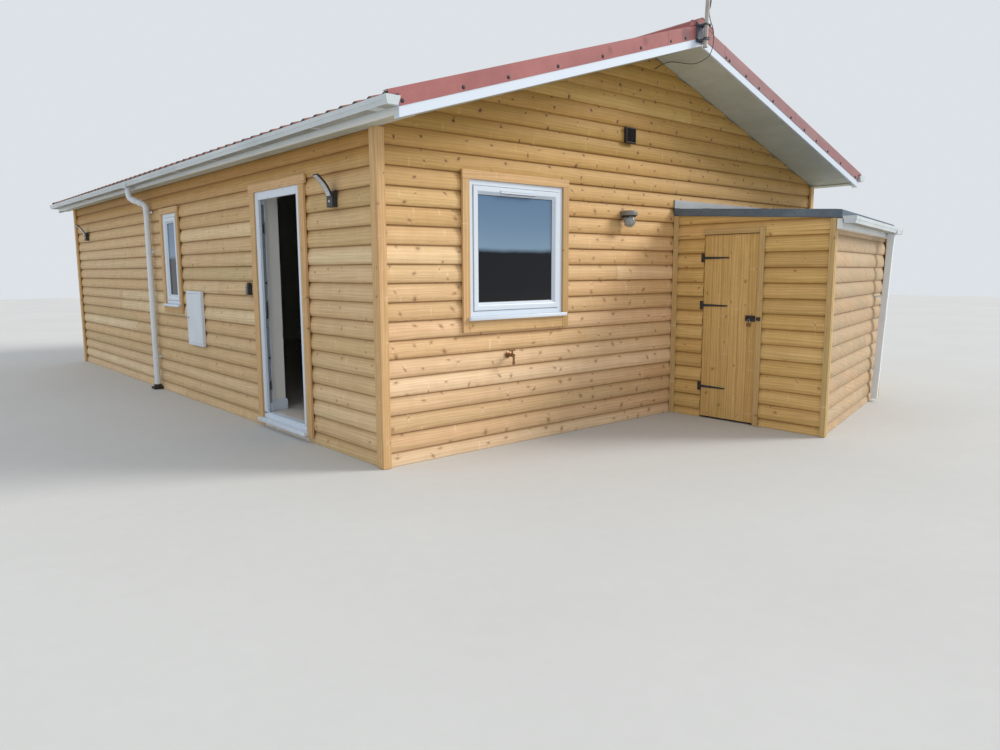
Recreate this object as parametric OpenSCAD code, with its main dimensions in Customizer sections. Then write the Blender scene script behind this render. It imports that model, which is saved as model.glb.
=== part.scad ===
// Timber beach hut with a gable roof and a lean-to store against its front gable.
// Millimetres, +Z up. X runs along the front gable, Y from the front gable to the back one.
// The origin is the middle of the hut's footprint, on the ground.

/* [Hut] */
// Width over the cladding, along the gable
hut_w = 6180; // [5000:10:8000]
// Length over the cladding, from gable to gable
hut_l = 9200; // [7000:10:12000]
// Height of the roof's underside, at the outer face of a side wall, over the door frame's head
eaves_over_door = 299; // [200:1:600]
// Wall thickness, from cladding to lining
wall_t = 210; // [120:5:280]
// Top of the floor above the ground
floor_h = 142; // [135:1:180]

/* [Roof] */
// Rise of both slopes, for each metre across
roof_rise = 315; // [200:5:500]
// Overhang beyond each gable wall
gable_overhang = 500; // [200:10:800]
// Overhang beyond each side wall, to the face of the fascia
eaves_overhang = 140; // [100:5:300]
// Upright depth of the roof, from its soffit to the tops of its tiles
roof_depth = 185; // [160:5:260]
// Upright depth of the tile sheets
tile_t = 35; // [20:5:60]
// How far the tiles reach over the gutter
tile_overhang = 80; // [40:5:100]
// Thickness of the soffit boards
soffit_t = 12; // [8:1:25]
// Thickness of the bargeboards and fascias
barge_t = 20; // [15:1:40]
// Upright height of bargeboard that shows under the verge flashing
barge_show = 75; // [50:5:120]
// Thickness of the folded verge flashing
flashing_t = 5; // [3:1:8]
// Width of the flashing's leg over the tiles
flashing_leg = 60; // [30:5:120]
// Width of the ridge cap to each side of the ridge
ridge_half_w = 180; // [100:10:250]
// Height of the ridge cap over the tiles at its edges
ridge_edge_h = 46; // [20:2:80]
// Height of the ridge cap over the tiles at the ridge
ridge_h = 60; // [40:2:100]
// Length of the white return at the foot of a bargeboard
box_end_l = 60; // [30:5:120]
// How far that return reaches in under the eaves
box_end_in = 60; // [20:10:60]
// How far the fascia drops below the eaves soffit
fascia_drop = 5; // [2:1:15]

/* [Gutters] */
// Width of a gutter at its rim
gutter_w = 114; // [100:1:150]
// Width of a gutter at its sole
gutter_sole_w = 80; // [60:1:90]
// Depth of a gutter
gutter_d = 62; // [50:1:80]
// Thickness of a gutter's wall
gutter_t = 4; // [3:0.5:6]
// Height of a gutter's sole above the eaves soffit
gutter_rise = 36; // [25:1:60]
// Diameter of a round downpipe
pipe_d = 68; // [50:1:80]
// How far the gutters run past the verge flashings
gutter_past = 20; // [5:5:40]
// Gap between a downpipe and the cladding
pipe_gap = 16; // [10:1:40]
// Distance of the left downpipe from the front gable's cladding
pipe_from_front = 5235; // [5050:5:6000]
// How far behind the pipe its gutter outlet lies
outlet_back = 150; // [0:10:200]
// How far the swan neck's upper elbow lies under the gutter's sole
neck_drop = 144; // [60:1:200]
// Length of the swan neck, measured upright
neck_h = 83; // [60:1:400]
// Height of a pipe clip
clip_h = 20; // [15:1:40]
// Gap between a downpipe and the ground
pipe_foot = 30; // [10:5:80]

/* [Corner boards and trims] */
// Width of a corner board
corner_w = 70; // [50:1:120]
// Thickness of a corner board
corner_t = 25; // [15:1:35]
// Thickness of the flat trims round doors and windows
trim_t = 22; // [15:1:30]
// Width of the trims beside the main door
door_trim_w = 95; // [60:1:120]
// Height of the trim over the main door
head_trim_h = 75; // [50:1:120]
// How far the trim over the main door runs past the trims beside it
head_ear = 20; // [0:5:40]
// Width of the trims round a window
window_trim_w = 70; // [50:1:100]
// Height of the trim under the gable window's sill
gable_apron_h = 95; // [50:1:140]
// Gap between the ground and the lowest trims
trim_foot = 45; // [10:5:50]

/* [Main door] */
// Distance of the door frame from the front gable's cladding
door_from_front = 1210; // [800:10:1600]
// Width of the door frame
door_w = 900; // [800:10:1100]
// Height of the door frame's head above the ground
door_head = 2166; // [2100:2:2200]
// Width of the frame's members
frame_face = 70; // [55:1:90]
// Depth of the frame
frame_d = 70; // [60:1:90]
// How far the frame stands out from the cladding
frame_proud = 5; // [2:1:12]
// Thickness of the frame's outer lip
frame_lip = 25; // [15:1:30]
// Depth of the rebate behind the lip
frame_rebate = 20; // [15:1:30]
// Thickness of the door leaf
leaf_t = 60; // [45:1:60]
// Running clearance round both doors
door_gap = 6; // [5:0.5:10]
// How far the door stands open, in degrees
door_open = 90; // [0:1:90]
// Height of the outer sill's nose
sill_h = 35; // [25:1:45]
// How far the nose stands out from the cladding
sill_proud = 65; // [40:1:100]
// How far the nose runs past the frame, to each side
sill_ear = 30; // [10:1:60]
// Height of the threshold over the sill
threshold_h = 50; // [40:1:60]
// How far the threshold's top lies below the floor
threshold_drop = 2; // [2:1:10]

/* [Windows] */
// Distance of the gable window's frame from the left wall's cladding
gable_window_x = 808; // [500:10:1200]
// Width of the gable window's frame
gable_window_w = 1030; // [600:10:1400]
// Distance of the side window's frame from the front gable's cladding
side_window_y = 4295; // [4150:5:4400]
// Width of the side window's frame
side_window_w = 500; // [400:10:600]
// How far the gable window's head lies below the door frame's
gable_head_drop = 9; // [0:1:100]
// Height of the gable window's frame
gable_window_h = 1065; // [900:5:1200]
// How far the side window's head lies below the door frame's
side_head_drop = 44; // [0:1:100]
// Height of the side window's frame
side_window_h = 1040; // [900:5:1200]
// Width of the trickle vent on the gable window
trickle_w = 386; // [250:2:500]
// Width of a window frame's members
window_face = 90; // [50:1:100]
// Width of the opening sash's members
sash_face = 65; // [35:1:80]
// How far the sash stands out from its frame
sash_proud = 8; // [4:1:15]
// Thickness of a sealed glass unit
glass_t = 24; // [16:1:32]
// Height of a window sill's nose
window_sill_h = 30; // [20:1:45]
// How far a window sill runs past the frame, to each side
window_sill_ear = 25; // [10:1:60]
// How far a window sill stands out from the cladding
window_sill_proud = 55; // [40:1:90]

/* [Store] */
// Distance of the store's door face from the hut's right wall, over the cladding
store_from_right = 2729; // [1500:1:3000]
// Distance of the store's far side from the hut's right wall, over the cladding
store_far_in = 77; // [77:1:900]
// How far the store stands out from the gable at its door side
store_d = 1630; // [1400:10:2200]
// How far the store stands out from the gable at its far side
store_far_d = 967; // [600:1:1300]
// Thickness of the store's walls
store_wall_t = 75; // [50:1:110]
// Height of the store's roof underside at the gable
store_top = 1990; // [1950:5:2200]
// Fall of the store's roof, for each metre out from the gable
store_fall = 64; // [30:2:120]
// Upright thickness of the felted roof
store_roof_t = 72; // [50:1:110]
// Overhang of the felted roof beyond its walls
store_verge = 25; // [23:1:90]
// Overhang of the felted roof over its gutter side
store_eaves = 65; // [60:5:110]
// Height of the felt upstand against the gable
upstand_h = 85; // [50:5:150]
// Thickness of the felt upstand
upstand_t = 14; // [6:1:20]
// Height of the white fascia on the store
store_fascia_h = 93; // [70:1:120]
// Distance of the store door from the gable's cladding
store_door_y = 361; // [250:1:420]
// Width of the store door
store_door_w = 583; // [500:1:650]
// Top of the store door above the ground
store_door_top = 1784; // [1700:1:1800]
// Gap under the store door
store_door_foot = 18; // [10:1:40]
// Thickness of the door's upright boards
plank_t = 20; // [16:1:30]
// Thickness of the ledges behind the boards
ledge_t = 22; // [16:1:30]
// Height of each ledge
ledge_h = 100; // [70:5:140]
// Width of the frame strips beside and over the store door
strip_w = 50; // [35:1:70]
// Side of the store's square downpipe
square_pipe = 55; // [45:1:75]
// Distance of the square downpipe's middle from the far end of the store's outer wall
square_pipe_in = 466; // [200:1:600]

/* [Fittings] */
// Diameter of the aerial mast
mast_d = 38; // [25:1:50]
// Length of the aerial mast
mast_l = 900; // [500:10:1800]
// Distance of the mast's middle from the bargeboard's face
mast_off = 60; // [45:1:120]
// How far the mast stands to the left of the ridge
mast_left = 37; // [0:1:60]
// Diameter of the aerial cable
cable_d = 7; // [5:0.5:10]
// Side of the square gable vent
vent_side = 140; // [100:5:220]
// Width of the round bulkhead lamp's cap
lamp_w = 150; // [120:5:280]
// Width of the meter box's cover
meter_w = 450; // [350:5:500]
// Height of the meter box's cover
meter_h = 600; // [450:5:700]
// Depth of the meter box's cover
meter_d = 40; // [30:1:80]
// How far the meter box's top lies below the door frame's head
meter_drop = 921; // [700:1:1200]
// Distance of the meter box from the front gable's cladding
meter_y = 3581; // [3200:1:3800]
// Distance of the near wall light's middle from the front gable's cladding
light_y = 632; // [400:1:900]
// Distance of the far wall light's middle from the back gable's cladding
far_light_y = 740; // [400:1:1200]
// Width of a wall light's box
light_w = 92; // [60:1:140]
// Height of a wall light's box
light_h = 125; // [80:5:200]
// How far a wall light's box stands out from the cladding
light_d = 45; // [30:1:80]
// How far the lights' boxes lie below the door frame's head
light_drop = 101; // [60:1:300]
// How far a light's arm reaches out from its box
arm_out = 110; // [60:5:200]
// How far a light's arm rises over its box
arm_up = 159; // [80:1:250]
// Width of a light's arm
arm_w = 60; // [30:1:90]

/* [Hidden] */
$fn = 48;

timber = "#c99a55";
new_timber = "#d3a763";
white = "#eef0f2";
terracotta = "#b06a62";
felt = "#4d5a66";
black = "#202224";

// Gap left where two pieces of one kind butt, and half the gap at the ridge
joint_gap = 1;
ridge_gap = 2;

// Faces of the hut
half_w = hut_w / 2;
half_l = hut_l / 2;
left_x = -half_w;
front_y = -half_l;
fall = roof_rise / 1000;
eaves_h = door_head + eaves_over_door;
roof_edge_x = half_w + eaves_overhang;
tile_edge_x = roof_edge_x + tile_overhang;
roof_end_y = half_l + gable_overhang;
deck_depth = roof_depth - tile_t;

// Height of the roof's underside over a point x across the hut
function under_roof(x) = eaves_h + (half_w - abs(x)) * fall;

// A band that follows one slope, from x0 to x1 (both to the right of the ridge), lift_a to lift_b
// over the roof's underside, and y0 to y1 along the hut. side is 1 to the right and -1 to the left
module slope_band(side, x0, x1, lift_a, lift_b, y0, y1) {
    translate([0, y1, 0])
        rotate([90, 0, 0])
            linear_extrude(y1 - y0)
                polygon([
                    [side * x0, under_roof(x0) + lift_a],
                    [side * x1, under_roof(x1) + lift_a],
                    [side * x1, under_roof(x1) + lift_b],
                    [side * x0, under_roof(x0) + lift_b]
                ]);
}

module box(x0, x1, y0, y1, z0, z1) {
    translate([x0, y0, z0]) cube([x1 - x0, y1 - y0, z1 - z0]);
}

// What stands at the front and again at the back
module front_and_back() {
    children();
    mirror([0, 1, 0]) children();
}

module left_and_right() {
    children();
    mirror([1, 0, 0]) children();
}

// Places along the left wall
door_y0 = front_y + door_from_front;
door_y1 = door_y0 + door_w;
sill_z0 = floor_h - threshold_drop - threshold_h - sill_h;
sill_z1 = sill_z0 + sill_h;
side_window_y0 = front_y + side_window_y;
side_window_y1 = side_window_y0 + side_window_w;
frame_out = left_x - frame_proud;
frame_in = frame_out + frame_d;

// Head and foot of the gable windows and of the side ones
gable_head = door_head - gable_head_drop;
gable_foot = gable_head - gable_window_h;
side_head = door_head - side_head_drop;
side_foot = side_head - side_window_h;

module floor() {
    color("#a59c90") {
        box(left_x + wall_t, half_w - wall_t, front_y + wall_t, half_l - wall_t, 0, floor_h);
        box(frame_in, left_x + wall_t, door_y0, door_y1, 0, floor_h);
        box(left_x, frame_in, door_y0, door_y1, 0, sill_z0);
    }
}

// A side wall's outline in section, with its top cut to the roof's slope
module side_wall_length(y0, y1, z0) {
    top = soffit_t;
    translate([0, y1, 0])
        rotate([90, 0, 0])
            linear_extrude(y1 - y0)
                polygon([
                    [left_x, z0],
                    [left_x + wall_t, z0],
                    [left_x + wall_t, under_roof(left_x + wall_t) + top],
                    [left_x, under_roof(left_x) + top]
                ]);
}

module side_window_hole() {
    box(left_x - 1, left_x + wall_t + 1, side_window_y0, side_window_y1, side_foot - window_sill_h, side_head);
}

module left_wall_front() {
    color(timber) side_wall_length(front_y + wall_t, door_y0, 0);
}

module left_wall_over_door() {
    color(timber) side_wall_length(door_y0, door_y1, door_head);
}

module left_wall_rear() {
    color(timber)
        difference() {
            side_wall_length(door_y1, half_l - wall_t, 0);
            side_window_hole();
        }
}

module right_wall() {
    color(timber)
        mirror([1, 0, 0])
            difference() {
                side_wall_length(front_y + wall_t, half_l - wall_t, 0);
                side_window_hole();
            }
}

module gable_wall() {
    difference() {
        translate([0, front_y + wall_t, 0])
            rotate([90, 0, 0])
                linear_extrude(wall_t)
                    polygon([
                        [left_x, 0],
                        [half_w, 0],
                        [half_w, eaves_h + soffit_t],
                        [0, under_roof(0) + soffit_t],
                        [left_x, eaves_h + soffit_t]
                    ]);
        box(left_x + gable_window_x, left_x + gable_window_x + gable_window_w,
            front_y - 1, front_y + wall_t + 1, gable_foot - window_sill_h, gable_head);
    }
}

module front_wall() {
    color(timber) gable_wall();
}

module back_wall() {
    color(timber) rotate([0, 0, 180]) gable_wall();
}

// The deck of one slope, with its foot cut level over the eaves soffit
deck_edge_x = roof_edge_x - barge_t;
deck_end_y = roof_end_y - barge_t;

module roof_decks() {
    color("#b9b5a6")
        left_and_right()
            translate([0, deck_end_y, 0])
                rotate([90, 0, 0])
                    linear_extrude(2 * deck_end_y)
                        polygon([
                            [ridge_gap, under_roof(ridge_gap) + soffit_t],
                            [half_w, eaves_h + soffit_t],
                            [half_w, eaves_h],
                            [deck_edge_x, eaves_h],
                            [deck_edge_x, under_roof(deck_edge_x) + deck_depth],
                            [ridge_gap, under_roof(ridge_gap) + deck_depth]
                        ]);
}

module roof_tiles() {
    color(terracotta)
        left_and_right()
            slope_band(1, ridge_gap, tile_edge_x, deck_depth, roof_depth, -roof_end_y, roof_end_y);
}

// Ridge cap: two wings that lie over the tiles, each turned down at its edge
ridge_lip = 14;

module ridge_cap() {
    in = ridge_half_w - ridge_lip;
    length = 2 * (roof_end_y + flashing_t);
    color(terracotta)
        translate([0, length / 2, 0])
            rotate([90, 0, 0])
                linear_extrude(length)
                    polygon([
                        [-ridge_half_w, under_roof(ridge_half_w) + roof_depth],
                        [0, under_roof(0) + roof_depth],
                        [ridge_half_w, under_roof(ridge_half_w) + roof_depth],
                        [ridge_half_w, under_roof(ridge_half_w) + roof_depth + flashing_t],
                        [in, under_roof(in) + roof_depth + ridge_edge_h],
                        [0, under_roof(0) + roof_depth + ridge_h],
                        [-in, under_roof(in) + roof_depth + ridge_edge_h],
                        [-ridge_half_w, under_roof(ridge_half_w) + roof_depth + flashing_t]
                    ]);
}

// Folded flashing over each verge: a face in front of the bargeboard, which stops at the gutter but
// for its top, and a leg on the tiles
module verge_flashings() {
    y0 = -roof_end_y - flashing_t;
    face_x = roof_edge_x - flashing_end;
    top = roof_depth + flashing_t;
    color(terracotta)
        front_and_back()
            left_and_right() {
                slope_band(1, ridge_gap, face_x, barge_show, roof_depth, y0, -roof_end_y);
                slope_band(1, face_x, tile_edge_x, top - flashing_top, roof_depth, y0, -roof_end_y);
                slope_band(1, ridge_half_w, tile_edge_x, roof_depth, top, y0, -roof_end_y + flashing_leg);
            }
}

flashing_end = 2;
flashing_top = 30;

module bargeboards() {
    color(white)
        front_and_back()
            left_and_right() {
                slope_band(1, ridge_gap, roof_edge_x, 0, deck_depth, -roof_end_y, -deck_end_y);
                box_end();
            }
}

// White return behind the foot of a bargeboard, in the angle under the fascia and the level soffit
module box_end() {
    x0 = deck_edge_x - box_end_in;
    translate([0, -roof_end_y + box_end_l, 0])
        rotate([90, 0, 0])
            linear_extrude(box_end_l - barge_t)
                polygon([
                    [x0, under_roof(x0)],
                    [roof_edge_x, under_roof(roof_edge_x)],
                    [roof_edge_x, fascia_z0],
                    [deck_edge_x, fascia_z0],
                    [deck_edge_x, eaves_h - soffit_t],
                    [x0, eaves_h - soffit_t]
                ]);
}

// Sloping soffit boards under the gable overhangs, and level ones under the eaves
module soffits() {
    color("#c9ccc0")
        left_and_right() {
            front_and_back()
                slope_band(1, ridge_gap, half_w - ridge_gap, 0, soffit_t, -deck_end_y, -half_l);
            box(half_w, deck_edge_x, -deck_end_y, deck_end_y, eaves_h - soffit_t, eaves_h);
        }
}

fascia_z0 = eaves_h - soffit_t - fascia_drop;

module fascias() {
    color(white) {
        left_and_right()
            box(deck_edge_x, roof_edge_x, -deck_end_y, deck_end_y, fascia_z0,
                under_roof(roof_edge_x) + deck_depth);
        store_fascia();
    }
}

// A gutter with stop ends. It lies along +Y from the origin, its back on x = 0 and its rim at z = 0
module gutter(length) {
    back_in = (gutter_w - gutter_sole_w) * 0.6;
    sole_out = back_in + gutter_sole_w;
    difference() {
        translate([0, length, -gutter_d])
            rotate([90, 0, 0])
                linear_extrude(length)
                    polygon([[0, gutter_d], [back_in, 0], [sole_out, 0], [gutter_w, gutter_d]]);
        translate([0, length - gutter_t, -gutter_d])
            rotate([90, 0, 0])
                linear_extrude(length - 2 * gutter_t)
                    polygon([
                        [gutter_t, gutter_d + 1],
                        [back_in + gutter_t, gutter_t],
                        [sole_out - gutter_t, gutter_t],
                        [gutter_w - gutter_t, gutter_d + 1]
                    ]);
    }
}

gutter_z = eaves_h - soffit_t + gutter_rise + gutter_d;

module hut_gutter() {
    end_y = roof_end_y + flashing_t + gutter_past;
    translate([roof_edge_x, -end_y, gutter_z]) gutter(2 * end_y);
}

module gutters() {
    color(white) {
        left_and_right() hut_gutter();
        store_gutter();
    }
}

// Round downpipe with a swan neck, for the right-hand gutter
pipe_x = half_w + pipe_gap + pipe_d / 2;
outlet_x = roof_edge_x + gutter_w / 2 + 4;
pipe_y = front_y + pipe_from_front;
neck_top_z = gutter_z - gutter_d - neck_drop;
neck_foot_z = neck_top_z - neck_h;

socket = 8;

module rod(a, b, d) {
    v = b - a;
    len_xy = norm([v[0], v[1]]);
    translate(a)
        rotate([0, atan2(len_xy, v[2]), atan2(v[1], v[0])])
            cylinder(d = d, h = norm(v));
}

module downpipe(clips) {
    top = [outlet_x, pipe_y + outlet_back, neck_top_z];
    foot = [pipe_x, pipe_y, neck_foot_z];
    translate([outlet_x, pipe_y + outlet_back, neck_top_z])
        cylinder(d = pipe_d, h = gutter_z - gutter_d - neck_top_z);
    translate(top) sphere(d = pipe_d + socket);
    rod(top, foot, pipe_d);
    translate(foot) sphere(d = pipe_d + socket);
    translate([pipe_x, pipe_y, pipe_foot]) cylinder(d = pipe_d, h = neck_foot_z - pipe_foot);
    for (z = clips)
        box(half_w, pipe_x, pipe_y - pipe_d / 2 - 4, pipe_y + pipe_d / 2 + 4, z, z + clip_h);
}

clip_heights = [400, 1690, neck_foot_z - 82];

module downpipes() {
    color(white) {
        left_and_right() downpipe(clip_heights);
        store_downpipe();
    }
}

// A pair of boards on each corner: the gable's board laps the end of the side wall's board
module corner_boards() {
    top = eaves_h - soffit_t;
    color(new_timber)
        front_and_back()
            left_and_right() {
                box(left_x - corner_t, left_x - corner_t + corner_w, front_y - corner_t, front_y, 0, top);
                box(left_x - corner_t, left_x, front_y, front_y + corner_w, 0, top);
            }
}

// Rebated frame of the main door, over its threshold
module door_frame() {
    color(white)
        difference() {
            box(frame_out, frame_in, door_y0, door_y1, sill_z1, door_head);
            box(frame_out - 1, frame_in + 1, door_y0 + frame_face, door_y1 - frame_face,
                sill_z1 + threshold_h, door_head - frame_face);
            box(frame_out + frame_lip, frame_in + 1,
                door_y0 + frame_face - frame_rebate, door_y1 - frame_face + frame_rebate,
                sill_z1 + threshold_h, door_head - frame_face + frame_rebate);
        }
    color(white) frame_hinges();
}

module door_sill() {
    color(white) {
        box(left_x - trim_t, frame_in, door_y0, door_y1, sill_z0, sill_z1);
        box(left_x - sill_proud, left_x - trim_t, door_y0 - sill_ear, door_y1 + sill_ear, sill_z0, sill_z1);
    }
}

// Boards round the doorway outside, and the end of the skirting on its reveal inside
wall_in = left_x + wall_t;
skirting_t = 15;
skirting_h = 100;
skirting_return = 250;

module door_trim() {
    color(new_timber) {
        for (y = [door_y0 - door_trim_w, door_y1])
            box(left_x - trim_t, left_x, y, y + door_trim_w, trim_foot, door_head - joint_gap);
        box(left_x - trim_t, left_x, door_y0 - door_trim_w - head_ear, door_y1 + door_trim_w + head_ear,
            door_head, door_head + head_trim_h);
    }
    color(white) {
        box(frame_in, wall_in + skirting_t, door_y1 - skirting_t, door_y1, floor_h, floor_h + skirting_h);
        box(wall_in, wall_in + skirting_t, door_y1, door_y1 + skirting_return, floor_h, floor_h + skirting_h);
    }
}

// The leaf, as it stands when shut, and the upright axis of its hinges
leaf_y0 = door_y0 + frame_face - frame_rebate + door_gap;
leaf_y1 = door_y1 - frame_face + frame_rebate - door_gap;
leaf_z0 = floor_h + door_gap;
leaf_z1 = door_head - frame_face + frame_rebate - door_gap;
leaf_x0 = frame_out + frame_lip + door_gap;
leaf_x1 = leaf_x0 + leaf_t;
hinge_r = 9;
hinge_x = leaf_x1 + hinge_r;
hinge_y = leaf_y0 - door_gap - 3;
knuckle_h = 40;
knuckle_gap = 0.3;
door_hinge_heights = [330, 1130, 1900];

module turned_open() {
    translate([hinge_x, hinge_y, 0])
        rotate([0, 0, -door_open])
            translate([-hinge_x, -hinge_y, 0])
                children();
}

module frame_hinges() {
    for (z = door_hinge_heights)
        for (k = [-1, 1]) {
            translate([hinge_x, hinge_y, z + k * (knuckle_h + knuckle_gap) - knuckle_h / 2])
                cylinder(r = hinge_r, h = knuckle_h);
            box(frame_in, hinge_x, hinge_y - hinge_r, hinge_y,
                z + k * (knuckle_h + knuckle_gap) - knuckle_h / 2,
                z + k * (knuckle_h + knuckle_gap) + knuckle_h / 2);
        }
}

module door_leaf() {
    recess = 8;
    stile = 120;
    mid_z = (leaf_z0 + leaf_z1) / 2 - 60;
    color(white)
        turned_open() {
            difference() {
                box(leaf_x0, leaf_x1, leaf_y0, leaf_y1, leaf_z0, leaf_z1);
                for (x = [leaf_x0 - 1, leaf_x1 - recess]) {
                    box(x, x + recess + 1, leaf_y0 + stile, leaf_y1 - stile, leaf_z0 + stile, mid_z - stile / 2);
                    box(x, x + recess + 1, leaf_y0 + stile, leaf_y1 - stile, mid_z + stile / 2, leaf_z1 - stile);
                }
            }
            for (z = door_hinge_heights) {
                translate([hinge_x, hinge_y, z - knuckle_h / 2])
                    cylinder(r = hinge_r, h = knuckle_h);
                box(leaf_x1, hinge_x, hinge_y, leaf_y0 + 35, z - knuckle_h / 2, z + knuckle_h / 2);
            }
        }
}

module door_handles() {
    plate_w = 32;
    plate_h = 230;
    plate_t = 8;
    lever_z = 1080;
    plate_y = leaf_y1 - 60;
    color("#c9ccd0")
        turned_open()
            for (side = [-1, 1]) {
                face = side < 0 ? leaf_x0 - plate_t : leaf_x1;
                out = side < 0 ? leaf_x0 - plate_t - 40 : leaf_x1 + plate_t;
                box(face, face + plate_t, plate_y - plate_w / 2, plate_y + plate_w / 2,
                    lever_z - plate_h / 2, lever_z + plate_h / 2);
                box(out, out + 40, plate_y - 9, plate_y + 9, lever_z, lever_z + 18);
                box(side < 0 ? out : out + 26, side < 0 ? out + 14 : out + 40,
                    plate_y - 110, plate_y + 9, lever_z, lever_z + 18);
            }
}

// A window's frame, with the sash standing a little out of it. It fills a hole from u0 to u1 along
// the wall, and is drawn for the front gable, whose outer face is y = 0 here
module window_frame(u0, u1, z0, z1) {
    s = window_face;
    difference() {
        union() {
            box(u0, u1, -frame_proud, frame_d - frame_proud, z0, z1);
            box(u0 + s / 2, u1 - s / 2, -frame_proud - sash_proud, -frame_proud, z0 + s / 2, z1 - s / 2);
        }
        box(u0 + s / 2 + sash_face, u1 - s / 2 - sash_face, -frame_proud - sash_proud - 1, frame_d,
            z0 + s / 2 + sash_face, z1 - s / 2 - sash_face);
    }
}

module window_pane(u0, u1, z0, z1) {
    in = window_face / 2 + sash_face;
    mid = (frame_d - frame_proud * 2 - sash_proud) / 2;
    box(u0 + in, u1 - in, mid - glass_t / 2, mid + glass_t / 2, z0 + in, z1 - in);
}

module window_sill(u0, u1, z0) {
    box(u0, u1, -trim_t, frame_d - frame_proud, z0 - window_sill_h, z0);
    box(u0 - window_sill_ear, u1 + window_sill_ear, -window_sill_proud, -trim_t, z0 - window_sill_h, z0);
}

module window_trim(u0, u1, z0, z1, apron) {
    w = window_trim_w;
    difference() {
        box(u0 - w, u1 + w, -trim_t, 0, z0 - window_sill_h - apron, z1 + w);
        box(u0, u1, -trim_t - 1, 1, z0 - window_sill_h, z1);
    }
}

// Places for the windows: the gable's in both gables, the side one in both side walls
gable_u0 = left_x + gable_window_x;
gable_u1 = gable_u0 + gable_window_w;

module in_both_gables() {
    translate([0, front_y, 0]) children();
    rotate([0, 0, 180]) translate([0, front_y, 0]) children();
}

module in_both_sides() {
    left_and_right()
        translate([left_x, 0, 0])
            rotate([0, 0, -90])
                mirror([1, 0, 0])
                    children();
}

module window_frames() {
    vent_x = (gable_u0 + gable_u1 - trickle_w) / 2;
    vent_y = -frame_proud - sash_proud;
    color(white) {
        in_both_gables() {
            window_frame(gable_u0, gable_u1, gable_foot, gable_head);
            box(vent_x, vent_x + trickle_w, vent_y - trickle_t, vent_y,
                gable_head - window_face / 2 - trickle_drop - trickle_h, gable_head - window_face / 2 - trickle_drop);
        }
        in_both_sides() window_frame(side_window_y0, side_window_y1, side_foot, side_head);
    }
}

trickle_h = 22;
trickle_t = 10;
trickle_drop = 24;

module window_glass() {
    color("#5b6a75") {
        in_both_gables() window_pane(gable_u0, gable_u1, gable_foot, gable_head);
        in_both_sides() window_pane(side_window_y0, side_window_y1, side_foot, side_head);
    }
}

module window_sills() {
    color(white) {
        in_both_gables() window_sill(gable_u0, gable_u1, gable_foot);
        in_both_sides() window_sill(side_window_y0, side_window_y1, side_foot);
    }
}

module window_trims() {
    color(new_timber) {
        in_both_gables() window_trim(gable_u0, gable_u1, gable_foot, gable_head, gable_apron_h);
        in_both_sides() window_trim(side_window_y0, side_window_y1, side_foot, side_head, window_trim_w);
    }
}

// Fittings on the left wall
meter_y0 = front_y + meter_y;
meter_z0 = door_head - meter_drop - meter_h;

module meter_box() {
    rim = 25;
    color(white) {
        difference() {
            box(left_x - meter_d, left_x, meter_y0, meter_y0 + meter_w, meter_z0, meter_z0 + meter_h);
            box(left_x - meter_d - 1, left_x - meter_d + 6, meter_y0 + rim, meter_y0 + meter_w - rim,
                meter_z0 + rim, meter_z0 + meter_h - rim);
        }
        box(left_x - meter_d, left_x - meter_d + 7, meter_y0 + rim + 5, meter_y0 + meter_w - rim - 5,
            meter_z0 + rim + 5, meter_z0 + meter_h - rim - 5);
    }
}

// Key safe beside the door's far trim: its box and the hood over its buttons
safe_off = 105;
safe_w = 64;
safe_h = 100;
safe_drop = 831;
safe_d = 45;
safe_hood_h = 17;
safe_hood_w = 44;
safe_hood_d = 30;

module key_safe() {
    y = door_y1 + door_trim_w + safe_off;
    z = door_head - safe_drop;
    color(black) {
        box(left_x - safe_d, left_x, y - safe_w / 2, y + safe_w / 2, z - safe_h, z);
        box(left_x - safe_hood_d, left_x, y - safe_hood_w / 2, y + safe_hood_w / 2, z, z + safe_hood_h);
    }
}

// Wall light: a box on the cladding and a slim arm that leans up and out from it
arm_t = 14;
arm_drop = 40;

module wall_light(y) {
    z1 = door_head - light_drop;
    x = left_x - light_d;
    color(black) {
        box(x, left_x, y - light_w / 2, y + light_w / 2, z1 - light_h, z1);
        translate([x, y + arm_w / 2, z1 - arm_drop])
            rotate([90, 0, 0])
                linear_extrude(arm_w)
                    polygon([
                        [0, -light_h / 3], [light_d / 3, 0], [0, arm_up * 0.25], [-arm_out * 0.45, arm_up * 0.62],
                        [-arm_out, arm_up], [-arm_out - arm_t * 0.5, arm_up - arm_t],
                        [-arm_out * 0.5, arm_up * 0.62 - arm_t], [-arm_t, arm_up * 0.2]
                    ]);
    }
}

module wall_lights() {
    wall_light(front_y + light_y);
    wall_light(-front_y - far_light_y);
}

// Fittings on the front gable
module gable_vent() {
    x = -375;
    z = eaves_h + 222;
    louvres = 4;
    pitch = (vent_side - 24) / louvres;
    color(black)
        difference() {
            box(x - vent_side / 2, x + vent_side / 2, front_y - 30, front_y, z - vent_side / 2, z + vent_side / 2);
            for (i = [0 : louvres - 1])
                box(x - vent_side / 2 + 12, x + vent_side / 2 - 12, front_y - 31, front_y - 18,
                    z - vent_side / 2 + 12 + i * pitch, z - vent_side / 2 + 12 + i * pitch + pitch * 0.5);
        }
}

lamp_x = -436;
lamp_z = door_head - 211;
lamp_cap_h = 46;
globe_d = 118;

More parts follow.
